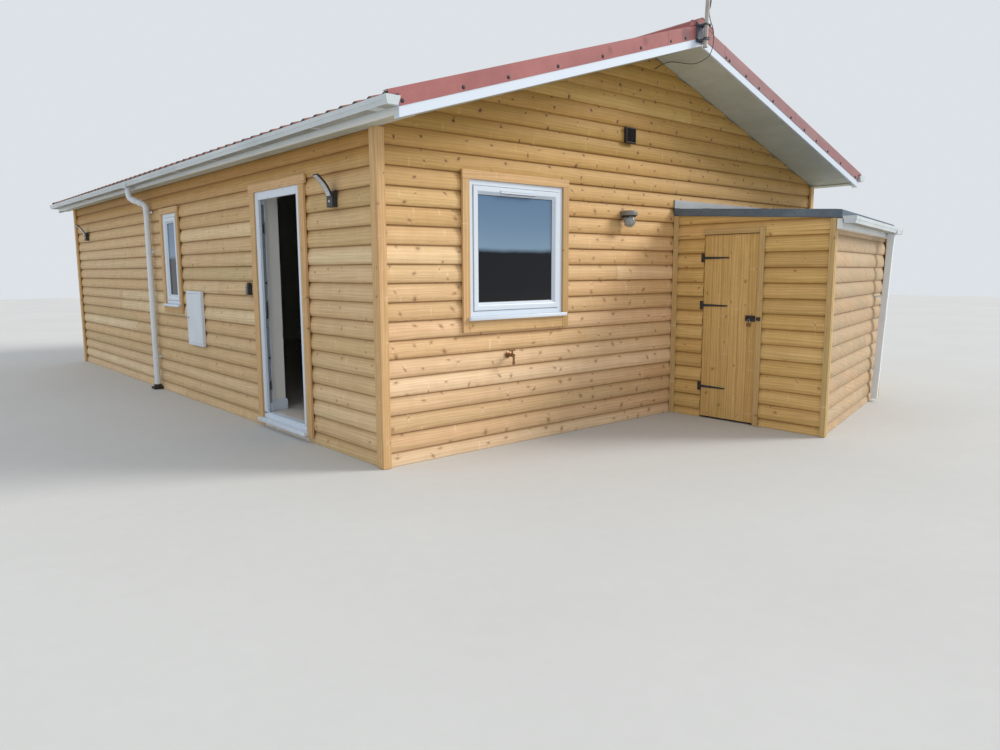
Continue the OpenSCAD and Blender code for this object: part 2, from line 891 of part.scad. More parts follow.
// Round bulkhead lamp: a cap on a short arm, and a globe under the cap
module bulkhead_lamp() {
    y = front_y - lamp_w / 2;
    color("#8f9396") {
        translate([lamp_x, y, lamp_z]) cylinder(d = lamp_w, h = lamp_cap_h);
        box(lamp_x - 28, lamp_x + 28, y, front_y - 8, lamp_z + 8, lamp_z + lamp_cap_h - 6);
        box(lamp_x - 40, lamp_x + 40, front_y - 8, front_y, lamp_z - 20, lamp_z + lamp_cap_h);
        translate([lamp_x, y, lamp_z - globe_d / 2 + 9]) sphere(d = globe_d);
    }
}

module outside_tap() {
    x = left_x + 1210;
    z = gable_foot - 332;
    color("#b08d57") {
        translate([x, front_y, z]) rotate([90, 0, 0]) cylinder(d = 54, h = 8);
        translate([x, front_y - 8, z]) rotate([90, 0, 0]) cylinder(d = 26, h = 82);
        translate([x, front_y - 78, z - 75]) cylinder(d = 22, h = 75);
        translate([x, front_y - 60, z]) cylinder(d = 16, h = 40);
        translate([x - 32, front_y - 68, z + 36]) cube([64, 16, 9]);
    }
}

// Faces of the store. Its outer wall is skewed: it comes nearer to the gable towards its far end
store_x0 = half_w - store_from_right;
store_x1 = half_w - store_far_in;
store_w = store_x1 - store_x0;
store_y0 = front_y - store_d;
store_far_y = front_y - store_far_d;
store_slope = store_fall / 1000;
store_run = (store_d - store_far_d) / store_w;
store_skew = atan(store_run);
store_front_l = store_w / cos(store_skew);
store_clear = 0.05;

// Along Y, the line at a distance out from the outer wall's face, at a point x
function store_line(x, out) = store_y0 + (x - store_x0) * store_run - out / cos(store_skew);

// All that lies between the gable and that line
module store_reach(out) {
    x0 = store_x0 - 200;
    x1 = store_x1 + 200;
    linear_extrude(store_top + 500)
        polygon([[x0, front_y], [x0, store_line(x0, out)], [x1, store_line(x1, out)], [x1, front_y]]);
}

// Draws its children on the outer wall's face: X along the wall from its near end, Y towards the gable
module store_front() {
    translate([store_x0, store_y0, 0])
        rotate([0, 0, store_skew])
            translate([0, -store_clear, 0])
                children();
}

// Height of the store's roof underside at a distance d out from the gable
function store_under(d) = store_top - d * store_slope;

// A band of the store's roof section, from d0 to d1 out from the gable, extruded from x0 to x1
module store_band(x0, x1, d0, d1, lift_a, lift_b) {
    translate([x1, 0, 0])
        rotate([90, 0, -90])
            linear_extrude(x1 - x0)
                polygon([
                    [-front_y + d0, store_under(d0) + lift_a],
                    [-front_y + d1, store_under(d1) + lift_a],
                    [-front_y + d1, store_under(d1) + lift_b],
                    [-front_y + d0, store_under(d0) + lift_b]
                ]);
}

// The space under the store's roof, raised by lift. The roof falls away from the gable, and past a line
// from its near outer corner to the gable's far end it falls square to the skewed outer wall
store_eaves_z = store_under(store_d);
store_far_slope = (store_top - store_eaves_z) / (store_far_d * cos(store_skew));

module store_space(lift) {
    out = 200;
    in = store_d + 200;
    intersection() {
        store_band(store_x0 - 200, store_x1 + 200, 0, store_d + 200, -store_top, lift);
        translate([store_x0, store_y0, 0])
            rotate([90, 0, 90 + store_skew])
                translate([0, 0, -600])
                    linear_extrude(store_front_l + 1800)
                        polygon([
                            [-out, -50],
                            [in, -50],
                            [in, store_eaves_z + in * store_far_slope + lift],
                            [-out, store_eaves_z - out * store_far_slope + lift]
                        ]);
    }
}

// A wall of the store that runs out from the gable, with its top cut to the roof
module store_side_wall(x0, d0, d1, z0) {
    intersection() {
        box(x0, x0 + store_wall_t, front_y - d1, front_y - d0, z0, store_top + 100);
        store_space(0);
        store_reach(-store_wall_t);
    }
}

store_hole_d0 = store_door_y - door_gap;
store_hole_d1 = store_door_y + store_door_w + door_gap;
store_hole_z = store_door_top + door_gap;

module store_wall_hinge_side() {
    color(timber) store_side_wall(store_x0, 0, store_hole_d0, 0);
}

module store_wall_bolt_side() {
    color(timber) store_side_wall(store_x0, store_hole_d1, store_d, 0);
}

module store_wall_over_door() {
    color(timber) store_side_wall(store_x0, store_hole_d0, store_hole_d1, store_hole_z);
}

module store_far_wall() {
    color(timber) store_side_wall(store_x1 - store_wall_t, 0, store_d, 0);
}

module store_outer_wall() {
    color(timber)
        difference() {
            intersection() {
                box(store_x0, store_x1, store_y0, front_y, 0, store_top + 100);
                store_space(0);
                store_reach(0);
            }
            translate([0, 0, -1]) store_reach(-store_wall_t);
        }
}

module store_roof() {
    x0 = store_x0 - store_verge;
    x1 = store_x1 + store_verge;
    color(felt) {
        intersection() {
            difference() {
                store_space(store_roof_t);
                store_space(0);
            }
            box(x0, x1, store_y0 - 200, front_y, store_top - 600, store_top + 300);
            store_reach(store_eaves);
        }
        store_band(x0, x1, 0, upstand_t, store_roof_t / 2, store_roof_t + upstand_h);
    }
}

store_fascia_z0 = store_eaves_z - store_fascia_h;

module store_fascia() {
    intersection() {
        store_front() {
            box(-trim_t, store_front_l + trim_t, -store_eaves, -trim_t, store_fascia_z0, store_top);
            box(store_strip, store_front_l - store_strip, -trim_t, 0, store_fascia_z0, store_top);
        }
        store_space(0);
    }
}

store_gutter_z = store_eaves_z + 10;
store_gutter_ear = 20;
store_gutter_short = 120;

module store_gutter() {
    x0 = -trim_t - store_gutter_ear;
    store_front()
        translate([x0, -store_eaves, store_gutter_z])
            rotate([0, 0, -90])
                gutter(store_front_l - store_gutter_short - x0);
}

// The square pipe leans back to the wall as it comes down
store_clip_heights = [350, 1150];

module store_downpipe() {
    x = store_front_l - square_pipe_in;
    h = square_pipe / 2;
    top_y = -store_eaves - gutter_w / 2 + 10;
    foot_y = -pipe_gap - h;
    top_z = store_gutter_z - gutter_d;
    store_front() {
        translate([x - h, 0, 0])
            rotate([90, 0, 90])
                linear_extrude(square_pipe)
                    polygon([
                        [foot_y - h, pipe_foot], [foot_y + h, pipe_foot], [top_y + h, top_z], [top_y - h, top_z]
                    ]);
        for (z = store_clip_heights)
            box(x - h - 4, x + h + 4, foot_y - h, 0, z, z + clip_h);
    }
}

// Timber strips of the store: corner pairs, the strip against the gable, the door's head and side
store_strip = corner_w - 20;

module store_trims() {
    out = trim_t;
    w = store_strip;
    x_face = store_x0 - out;
    top = store_top;
    color(new_timber)
        intersection() {
            union() {
                box(x_face, store_x0, front_y - w, front_y, 0, top);
                box(x_face, store_x0, store_y0 - out, store_y0 - out + w, 0, top);
                store_front() {
                    box(0, w, -out, 0, 0, top);
                    box(store_front_l - w, store_front_l, -out, 0, 0, top);
                }
                box(store_x1, store_x1 + out, store_far_y, store_far_y + w, 0, top);
                box(store_x1, store_x1 + out, front_y - w, front_y, 0, top);
                box(x_face, store_x0, front_y - store_hole_d1 - strip_w, front_y - store_hole_d1, 0,
                    store_hole_z + strip_w);
                box(x_face, store_x0, front_y - store_hole_d1 + joint_gap, front_y - store_hole_d0,
                    store_hole_z, store_hole_z + strip_w);
            }
            store_space(0);
        }
}

// The store's door, shut: upright boards on three ledges. Its hinges stand on its outer face
store_door_y1 = front_y - store_door_y;
store_door_y0 = store_door_y1 - store_door_w;
strap_t = 6;
iron_r = 7;
store_hinge_x = store_x0 - iron_r;
store_hinge_y = store_door_y1 + door_gap / 2;
store_hinge_heights = [312, 1112, 1568];
iron_h = 26;

module store_door() {
    color(timber) {
        box(store_x0, store_x0 + plank_t, store_door_y0, store_door_y1, store_door_foot, store_door_top);
        for (z = store_hinge_heights)
            box(store_x0 + plank_t, store_x0 + plank_t + ledge_t, store_door_y0 + 10, store_door_y1 - 10,
                z - ledge_h / 2, z + ledge_h / 2);
    }
}

// Straps and their middle knuckles, and the bolt's bar, which swing with the door
module store_door_ironwork() {
    strap_l = 275;
    bolt_z = 1003;
    color(black) {
        for (z = store_hinge_heights) {
            translate([store_hinge_x, store_hinge_y, z - iron_h / 2]) cylinder(r = iron_r, h = iron_h);
            translate([store_x0, 0, z])
                rotate([0, -90, 0])
                    linear_extrude(strap_t)
                        polygon([
                            [-iron_h / 2, store_hinge_y],
                            [-iron_h / 4, store_hinge_y - strap_l],
                            [iron_h / 4, store_hinge_y - strap_l],
                            [iron_h / 2, store_hinge_y]
                        ]);
        }
        box(store_x0 - 5, store_x0, store_door_y0 + 15, store_door_y0 + 115, bolt_z - 28, bolt_z + 28);
        translate([store_x0 - 12, store_door_y0 + 110, bolt_z])
            rotate([90, 0, 0])
                cylinder(r = 7, h = 90);
        box(store_x0 - 42, store_x0 - 14, store_door_y0 + 70, store_door_y0 + 82, bolt_z - 6, bolt_z + 6);
    }
}

// Fixed plates of the hinges, each with a knuckle over and under the strap's
module store_hinge_plates() {
    plate_w = 30;
    tail = 32;
    color(black)
        for (z = store_hinge_heights) {
            for (k = [-1, 1])
                translate([store_hinge_x, store_hinge_y, z + k * (iron_h + knuckle_gap) - iron_h / 2])
                    cylinder(r = iron_r, h = iron_h);
            for (k = [-1, 1])
                box(store_x0 - strap_t, store_x0, store_hinge_y, store_hinge_y + plate_w,
                    z + k * (iron_h + knuckle_gap) - iron_h / 2, z + k * (iron_h + knuckle_gap) + iron_h / 2);
            box(store_x0 - strap_t, store_x0, store_hinge_y + iron_r + 4, store_hinge_y + plate_w,
                z - iron_h - tail / 2, z + iron_h + tail / 2);
        }
}

// Aerial mast on a bracket at the front gable's apex. It leans a little
mast_lean = 3;
mast_y = -roof_end_y - flashing_t - mast_off;
mast_foot_z = under_roof(0) - 24;
bracket_z0 = mast_foot_z + 40;
bracket_h = 165;
bracket_w = 118;
bracket_t = 6;
clamp_w = 58;
clamp_h = 10;

module mast() {
    color("#cfcabb")
        translate([-mast_left, mast_y, mast_foot_z])
            rotate([0, mast_lean, 0]) {
                cylinder(d = mast_d, h = mast_l);
                translate([0, 0, mast_l]) cylinder(d1 = mast_d + 6, d2 = mast_d - 6, h = 12);
                translate([0, 0, -8]) cylinder(d = mast_d + 4, h = 8);
            }
}

// Plate on the verge flashings, with two arms whose ends clasp the mast
module mast_bracket() {
    face = -roof_end_y - flashing_t;
    color("#7e858c") {
        box(-mast_left - bracket_w / 2, -mast_left + bracket_w / 2, face - bracket_t, face,
            bracket_z0, bracket_z0 + bracket_h);
        for (z = [bracket_z0 + 14, bracket_z0 + bracket_h - 14 - clamp_h])
            difference() {
                box(-mast_left - clamp_w / 2, -mast_left + clamp_w / 2, mast_y - mast_d / 2 - 7, face, z, z + clamp_h);
                translate([-mast_left, mast_y, mast_foot_z])
                    rotate([0, mast_lean, 0])
                        cylinder(d = mast_d, h = mast_l);
            }
    }
}

// Aerial cable: down beside the mast, past the bargeboard, and back under the soffit to the gable
cable_route = [
    [29, -5165, 4100], [16, -5165, 3900], [9, -5165, 3760], [12, -5165, 3690], [36, -5165, 3636],
    [62, -5165, 3604], [82, -5165, 3560], [91, -5164, 3505], [90, -5160, 3450], [88, -5148, 3405],
    [97, -5125, 3378], [112, -5090, 3362], [122, -5040, 3351], [138, -4985, 3346], [150, -4930, 3346],
    [155, -4870, 3357], [140, -4820, 3369], [112, -4780, 3380], [92, -4735, 3390], [79, -4700, 3395],
    [68, -4660, 3393], [65, -4625, 3387], [65, -4600.2, 3378]
];
cable_sides = 8;

function unit(v) = v / norm(v);

function tangent(path, i) =
    unit(path[min(i + 1, len(path) - 1)] - path[max(i - 1, 0)]);

// A ring of points round the path at point i, square to the path there
function ring(path, i, r) =
    let (
        t = tangent(path, i),
        side = unit(cross(t, [1, 0, 0])),
        up = cross(side, t)
    )
    [for (k = [0 : cable_sides - 1])
        path[i] + r * (cos(360 * k / cable_sides) * side + sin(360 * k / cable_sides) * up)];

module tube(path, d) {
    n = len(path);
    s = cable_sides;
    polyhedron(
        points = [for (i = [0 : n - 1]) each ring(path, i, d / 2)],
        faces = concat(
            [[for (k = [0 : s - 1]) k]],
            [[for (k = [s - 1 : -1 : 0]) (n - 1) * s + k]],
            [for (i = [0 : n - 2]) for (k = [0 : s - 1])
                [i * s + k, (i + 1) * s + k, (i + 1) * s + (k + 1) % s, i * s + (k + 1) % s]]
        ),
        convexity = 4
    );
}

module aerial_cable() {
    color(black) tube(cable_route, cable_d);
}

floor();
left_wall_front();
left_wall_over_door();
left_wall_rear();
front_wall();
back_wall();
right_wall();
roof_decks();
roof_tiles();
ridge_cap();
verge_flashings();
bargeboards();
soffits();
fascias();
gutters();
downpipes();
corner_boards();
door_frame();
door_sill();
door_trim();
window_frames();
window_glass();
window_sills();
window_trims();
meter_box();
key_safe();
wall_lights();
gable_vent();
bulkhead_lamp();
outside_tap();
store_wall_hinge_side();
store_wall_bolt_side();
store_wall_over_door();
store_outer_wall();
store_far_wall();
store_roof();
store_trims();
mast();
mast_bracket();
aerial_cable();
door_leaf();
door_handles();
store_door();
store_door_ironwork();
store_hinge_plates();
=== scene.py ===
"""Timber beach hut with a lean-to store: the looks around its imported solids, +Z up.

Shapes are drawn in millimetres and kept in metres. Cameras, lights and materials work in metres."""
import math
import random

import bmesh
import bpy
from mathutils import Matrix, Vector


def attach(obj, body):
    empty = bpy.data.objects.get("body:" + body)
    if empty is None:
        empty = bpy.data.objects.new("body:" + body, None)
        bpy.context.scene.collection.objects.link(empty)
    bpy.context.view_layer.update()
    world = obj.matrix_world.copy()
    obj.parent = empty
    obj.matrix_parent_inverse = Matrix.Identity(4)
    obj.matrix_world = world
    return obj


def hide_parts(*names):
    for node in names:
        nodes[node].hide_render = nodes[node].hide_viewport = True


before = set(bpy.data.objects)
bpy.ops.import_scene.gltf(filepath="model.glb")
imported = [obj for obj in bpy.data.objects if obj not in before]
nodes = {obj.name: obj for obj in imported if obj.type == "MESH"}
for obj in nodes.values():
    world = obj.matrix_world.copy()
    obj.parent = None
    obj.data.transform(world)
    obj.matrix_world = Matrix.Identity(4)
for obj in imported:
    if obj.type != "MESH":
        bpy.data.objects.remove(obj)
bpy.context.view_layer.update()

scene = bpy.context.scene

# ---------------------------------------------------------------- sizes, as in the solids
HALF_W, HALF_L = 3090, 4600
EAVES, FALL = 2465, 0.315
ROOF_X, TILE_X, ROOF_Y = 3230, 3310, 5100
WALL_T, STORE_T, BOARD_T = 210, 75, 23
STORE_X0, STORE_X1, STORE_Y0, STORE_FAR = 361, 3013, -6230, -5567
STORE_TOP, STORE_FALL, STORE_HEAD = 1990, 0.064, 1885
# The store's outer wall is skewed: its angle, its length, and the roof's fall towards it
SKEW = math.atan2(STORE_FAR - STORE_Y0, STORE_X1 - STORE_X0)
COS, SIN = math.cos(SKEW), math.sin(SKEW)
FRONT_L = (STORE_X1 - STORE_X0) / COS
STORE_EAVES = STORE_TOP - 1630 * STORE_FALL
FAR_FALL = (STORE_TOP - STORE_EAVES) / (967 * COS)
# Height of the roof's fold where it meets the store's outer wall
FOLD_Z = 1885.7
# Height of a board's course, and where the first one starts on the hut and on the store
PITCH, FIRST, STORE_FIRST = 140, -35, -65
GUTTER_Z, STORE_GUTTER_Z, OUTLET_Y = 2489, 1833.7, 785
# Openings as (u0, u1, z0, z1) on their walls
DOOR = (-3390, -2490, -1000, 2166)
SIDE_WINDOW = (-305, 195, 1052, 2122)
GABLE_WINDOW = (-2282, -1252, 1062, 2157)
HATCH = (-5550, -4955, -1000, 1790)
# Heights of the store door's ledges and hinges, and of its bolt
LEDGES, BOLT_Z = (312, 1112, 1568), 1003
# Grain of a board, which is also its place in a list of three timbers
X, Y, Z = 0, 1, 2
UP, WEST, SOUTH = (0, 0, 1), (-1, 0, 0), (0, -1, 0)


def under(x):
    """Height of the roof's underside."""
    return EAVES + (HALF_W - abs(x)) * FALL


def store_under(x, y):
    inward = (y - STORE_Y0) * COS - (x - STORE_X0) * SIN
    return min(STORE_TOP + (y + HALF_L) * STORE_FALL, STORE_EAVES + inward * FAR_FALL)


# ---------------------------------------------------------------- camera
yaw, pitch, roll = math.radians(40.694), math.radians(7.861), math.radians(-0.218)
look = Vector((math.sin(yaw) * math.cos(pitch), math.cos(yaw) * math.cos(pitch), -math.sin(pitch)))
flat_right = Vector((math.cos(yaw), -math.sin(yaw), 0))
flat_up = flat_right.cross(look)
cam_right = flat_right * math.cos(roll) + flat_up * math.sin(roll)
cam_up = flat_up * math.cos(roll) - flat_right * math.sin(roll)
camera_data = bpy.data.cameras.new("camera")
camera_data.sensor_width = 36
camera_data.lens = 753.29 * 36 / 1000
camera_data.clip_end = 300
camera = bpy.data.objects.new("camera", camera_data)
scene.collection.objects.link(camera)
turn = Matrix((cam_right, cam_up, -look)).transposed().to_4x4()
camera.matrix_world = Matrix.Translation((-5.9904, -9.2842, 1.4509)) @ turn
scene.camera = camera


# ---------------------------------------------------------------- materials
class Paint:
    """A material under construction: nodes are added by short calls."""

    def __init__(self, name, **fixed):
        self.mat = bpy.data.materials.new(name)
        self.mat.use_nodes = True
        self.tree = self.mat.node_tree
        self.shader = self.tree.nodes["Principled BSDF"]
        for key, value in fixed.items():
            self.shader.inputs[key.replace("_", " ")].default_value = value

    def add(self, kind, inputs, **props):
        """A node, with each of its inputs linked or set."""
        n = self.tree.nodes.new("ShaderNode" + kind)
        for key, value in props.items():
            setattr(n, key, value)
        for key, value in inputs.items():
            if isinstance(value, bpy.types.NodeSocket):
                self.tree.links.new(value, n.inputs[key])
            else:
                n.inputs[key].default_value = value
        return n

    def math(self, op, a, b=0.0):
        return self.add("Math", {0: a, 1: b}, operation=op).outputs[0]

    def mul(self, a, b):
        return self.math("MULTIPLY", a, b)

    def plus(self, a, b):
        return self.math("ADD", a, b)

    def minus(self, a, b):
        return self.math("SUBTRACT", a, b)

    def vector(self, op, a, b=(0, 0, 0)):
        return self.add("VectorMath", {0: a, 1: b}, operation=op).outputs

    def coords(self):
        return self.add("TexCoord", {}).outputs["Object"]

    def axes(self, vector):
        return self.add("SeparateXYZ", {0: vector}).outputs

    def point(self, x, y):
        return self.add("CombineXYZ", {0: x, 1: y}).outputs[0]

    def channels(self, colour):
        return self.add("SeparateColor", {0: colour}).outputs

    def colour(self, r, g, b):
        return self.add("CombineColor", {0: r, 1: g, 2: b}).outputs[0]

    def tone(self):
        return self.add("Attribute", {}, attribute_name="tone").outputs["Fac"]

    def stretch(self, vector, scale):
        return self.add("Mapping", {"Vector": vector, "Scale": scale}).outputs[0]

    def noise(self, vector, scale=1.0, detail=4.0, rough=0.5):
        inputs = {"Vector": vector, "Scale": scale, "Detail": detail, "Roughness": rough}
        return self.add("TexNoise", inputs).outputs[0]

    def ramp(self, value, stops):
        """Stops are (position, red, green, blue)."""
        n = self.add("ValToRGB", {0: value})
        e = n.color_ramp.elements
        while len(e) < len(stops):
            e.new(0.5)
        for slot, (at, *colour) in zip(e, stops):
            slot.position, slot.color = at, (*colour, 1)
        return n.outputs[0]

    def span(self, value, a, b, c=0.0, d=1.0):
        return self.add("MapRange", {0: value, 1: a, 2: b, 3: c, 4: d}).outputs[0]

    def mix(self, factor, a, b, blend="MIX"):
        a, b = ((*c, 1) if isinstance(c, tuple) else c for c in (a, b))
        return self.add("Mix", {0: factor, 6: a, 7: b}, data_type="RGBA", blend_type=blend).outputs[2]

    def out(self, colour, rough, height, bump=0.2, distance=0.001):
        bumps = self.add("Bump", {"Height": height, "Strength": bump, "Distance": distance}).outputs[0]
        for value, name in ((colour, "Base Color"), (rough, "Roughness"), (bumps, "Normal")):
            self.tree.links.new(value, self.shader.inputs[name])
        return self.mat


# Painted shade and highlight on a lapped board, from its foot up to the foot of the next one: darker at the laps,
# lighter across its face
LAP_SHADE = [(0, 0.60, 0.50, 0.40), (0.045, 0.92, 0.89, 0.84), (0.2, 1.02, 1.02, 1.01), (0.5, 1.08, 1.08, 1.10),
         (0.76, 1.02, 1.01, 0.99), (0.92, 0.86, 0.81, 0.74), (1, 0.56, 0.46, 0.36)]
# Knots to the metre along a board and across it
KNOTS_X, KNOTS_Y = 4.6, 8.0


def wood(name, grain, palette, knots=0.5, rough=0.6, lines=0.1, rise=None, foot=None, swell=1.0, lap_shade=1.0):
    """Planed softwood. grain is the axis along the boards; each board's tone picks its colour and timber.
    knots is the share of places that have one, and swell is their size. rise tints the wood by height, with painted
    shade under the roof, and foot is the height in millimetres at which the lapped courses start; from it each board
    gets painted shade at its laps and a painted highlight on its face, as strong as lap_shade."""
    p = Paint(name)
    tone = p.tone()
    xyz = p.axes(p.coords())
    side = [i for i in range(3) if i != grain]
    along = p.plus(xyz[grain], p.mul(tone, 37.7))
    across = p.plus(p.plus(xyz[side[0]], xyz[side[1]]), p.mul(tone, 53.3))
    flat = p.point(along, across)
    # knots: small ovals and dashes across the board, and how they push the grain aside
    cells = p.stretch(flat, (KNOTS_X, KNOTS_Y, 1))
    cell = p.add("TexVoronoi", {"Vector": cells, "Scale": 1.0}, voronoi_dimensions="2D")
    pick = p.channels(cell.outputs["Color"])
    away = p.vector("SUBTRACT", cells, cell.outputs["Position"])[0]
    off = p.axes(p.stretch(away, (1 / KNOTS_X, 1 / KNOTS_Y, 1)))
    lean = p.mul(off[1], p.span(pick[0], 0, knots, -0.6, 0.6))
    a = p.math("DIVIDE", p.plus(off[0], lean), p.span(pick[1], 0, 1, 0.004, 0.0135))
    b = p.math("DIVIDE", off[1], p.span(pick[2], 0, 1, 0.0045, 0.015))
    far = p.math("DIVIDE", p.math("SQRT", p.plus(p.mul(a, a), p.mul(b, b))), swell)
    there = p.math("LESS_THAN", pick[0], knots)
    halo = p.mul(p.span(far, 2.6, 0.9), there)
    core = p.mul(p.span(far, 1.12, 0.7), there)
    # pale flames where the grain stands up round some knots
    reach = p.vector("LENGTH", p.stretch(away, (1 / KNOTS_X / 0.009, 1 / KNOTS_Y / 0.05, 0)))["Value"]
    push = p.mul(p.span(far, 5.0, 0.0, 0.0, 0.012), there)
    bent = p.point(along, p.plus(across, push))
    rings = p.add("TexWave", {"Vector": p.stretch(bent, (0.5, 9, 1)), "Scale": 1.3, "Distortion": 9.0, "Detail": 3.0,
                              "Detail Scale": 1.4, "Detail Roughness": 0.6}, bands_direction="Y").outputs["Fac"]
    fine = p.noise(p.stretch(bent, (2.2, 110, 1)), 1.0, 7, 0.62)
    broad = p.noise(p.stretch(flat, (0.8, 5, 1)), 1.0, 3, 0.5)
    ripple = p.noise(p.stretch(flat, (7, 2.4, 1)), 1.0, 3, 0.6)
    base = p.ramp(tone, palette)
    base = p.mix(p.span(broad, 0.36, 0.66, 0.0, 0.8), base, p.mix(0.34, base, (0.66, 0.36, 0.17)))
    flame = p.mul(p.span(p.plus(reach, p.span(ripple, 0.3, 0.7, -0.5, 0.5)), 1.1, 0.5),
                  p.math("LESS_THAN", pick[1], knots * 0.8))
    base = p.mix(p.mul(flame, 0.34), base, (0.80, 0.59, 0.36))
    shade = p.minus(1.0 + lines * 0.5, p.mul(rings, lines))
    shade = p.minus(shade, p.span(fine, 0.35, 0.75, -0.07, 0.10))
    shade = p.minus(shade, p.span(ripple, 0.35, 0.7, -0.03, 0.04))
    shade = p.colour(shade, p.math("POWER", shade, 1.15), p.math("POWER", shade, 1.5))
    colour = p.mix(1.0, base, shade, "MULTIPLY")
    # tint by height, with painted shade of the overhang darkening the courses under the roof
    if rise:
        colour = p.mix(1.0, colour, p.ramp(p.span(xyz[2], 0.0, 3.5), rise), "MULTIPLY")
    # painted shade at the laps and a painted highlight on each board's face, weaker from 2.1 m up to 2.7 m
    if foot is not None:
        phase = p.math("FRACT", p.math("DIVIDE", p.minus(xyz[2], foot / 1000), PITCH / 1000))
        colour = p.mix(p.span(xyz[2], 2.1, 2.7, lap_shade, lap_shade * 0.3), colour, p.ramp(phase, LAP_SHADE), "MULTIPLY")
    # knots are darker where the wood is sheltered
    depth = p.span(xyz[2], 1.8, 2.5, 0.5, 1.08)
    colour = p.mix(p.mul(halo, 0.42), colour, (0.38, 0.18, 0.07))
    colour = p.mix(p.mul(core, p.mul(depth, 0.85)), colour, (0.11, 0.048, 0.02))
    height = p.plus(p.mul(fine, 0.6), p.mul(rings, 0.2))
    p.shader.inputs["Specular IOR Level"].default_value = 0.35
    return p.out(colour, p.span(fine, 0.3, 0.7, rough - 0.06, rough + 0.1), height, 0.3, 0.0012)


def finish(name, colour, second, rough=0.4, spread=0.08, scale=3.0, fine=60.0, bump=0.05, distance=0.0005, **fixed):
    """A painted, moulded or sheet finish: two near colours in soft patches, and a fine skin."""
    p = Paint(name, **fixed)
    at = p.coords()
    skin = p.noise(at, fine, 6, 0.6)
    both = p.plus(p.mul(p.noise(at, scale, 5, 0.55), 0.7), p.mul(skin, 0.3))
    mixed = p.mix(p.span(both, 0.38, 0.62), colour, second)
    return p.out(mixed, p.span(both, 0.35, 0.65, rough - spread, rough + spread), skin, bump, distance)


def streaked(name, colour, second, third, rough, scale, grit, bump, stains=(), sky_shade_tint=None):
    """Weathered sheet or board: soft patches, runs down the surface, fine grit, and rust stains of (centre, radius).
    sky_shade_tint greys and blues the slope on the +X side: painted shade."""
    p = Paint(name)
    at = p.coords()
    runs = p.noise(p.stretch(at, scale), 3.0, 6, 0.65)
    skin = p.noise(at, grit, 4, 0.7)
    mixed = p.mix(p.span(p.noise(at, 2.3, 5, 0.6), 0.35, 0.65), colour, second)
    mixed = p.mix(p.span(runs, 0.45, 0.75, 0.0, 0.7), mixed, third)
    # painted shade: the slope on the +X side greyer and bluer
    if sky_shade_tint:
        mixed = p.mix(p.span(p.axes(at)[0], 0.0, 0.25), mixed, p.mix(1.0, mixed, sky_shade_tint, "MULTIPLY"))
    for centre, radius in stains:
        away = p.vector("DISTANCE", at, centre)["Value"]
        away = p.plus(away, p.span(runs, 0.3, 0.7, -radius / 2, radius / 2))
        mixed = p.mix(p.span(away, radius, radius * 0.2, 0.0, radius * 10), mixed, (0.12, 0.03, 0.028))
    light = p.plus(p.span(skin, 0.3, 0.7, 0.9, 1.06), p.mul(p.minus(p.tone(), 0.5), 0.16))
    mixed = p.mix(1.0, mixed, p.colour(light, light, light), "MULTIPLY")
    return p.out(mixed, p.span(runs, 0.3, 0.7, rough - 0.08, rough + 0.1), skin, bump, 0.0008)


def glazing(name, stops, **fixed):
    """Glass with a little dust on it, coloured by its height between 1 and 2.2 m; on the window glass this is a
    painted reflection, near black below and sky blue above.
    """
    p = Paint(name, **fixed)
    at = p.coords()
    dust = p.noise(at, 2.0, 4, 0.6)
    level = p.plus(p.axes(at)[2], p.span(dust, 0.3, 0.7, -0.012, 0.012))
    return p.out(p.ramp(p.span(level, 1.0, 2.2), stops), p.span(dust, 0.35, 0.7, 0.03, 0.08),
                 p.noise(at, 0.8, 2, 0.5), 0.04, 0.004)


def spangled(name):
    """Zinc-dipped steel with its crystal pattern."""
    p = Paint(name, Specular_IOR_Level=0.25)
    at = p.coords()
    shade = p.channels(p.add("TexVoronoi", {"Vector": at, "Scale": 90.0}).outputs["Color"])[0]
    rust = p.mul(p.span(p.noise(at, 16, 5, 0.6), 0.58, 0.74), 0.6)
    colour = p.mix(shade, (0.055, 0.062, 0.085), (0.10, 0.11, 0.14))
    return p.out(p.mix(rust, colour, (0.20, 0.13, 0.09)), p.span(shade, 0, 1, 0.35, 0.55), shade, 0.05, 0.0005)


PINE = [(0, 0.60, 0.37, 0.175), (0.2, 0.68, 0.44, 0.235), (0.4, 0.56, 0.36, 0.165), (0.58, 0.65, 0.415, 0.215),
        (0.75, 0.77, 0.54, 0.31), (0.87, 0.54, 0.35, 0.16), (1, 0.64, 0.40, 0.19)]
TRIM = [(0, 0.58, 0.355, 0.145), (0.35, 0.66, 0.42, 0.20), (0.7, 0.61, 0.395, 0.165), (1, 0.52, 0.33, 0.14)]
STORE_PINE = [(0, 0.62, 0.405, 0.135), (0.3, 0.73, 0.49, 0.19), (0.6, 0.64, 0.43, 0.15), (0.8, 0.74, 0.51, 0.21),
              (1, 0.56, 0.37, 0.13)]
STORE_TRIM = [(0, 0.54, 0.385, 0.165), (0.5, 0.60, 0.43, 0.19), (1, 0.50, 0.355, 0.15)]
SHADED_PINE = [(0, 0.42, 0.305, 0.18), (0.5, 0.49, 0.365, 0.225), (1, 0.44, 0.32, 0.185)]
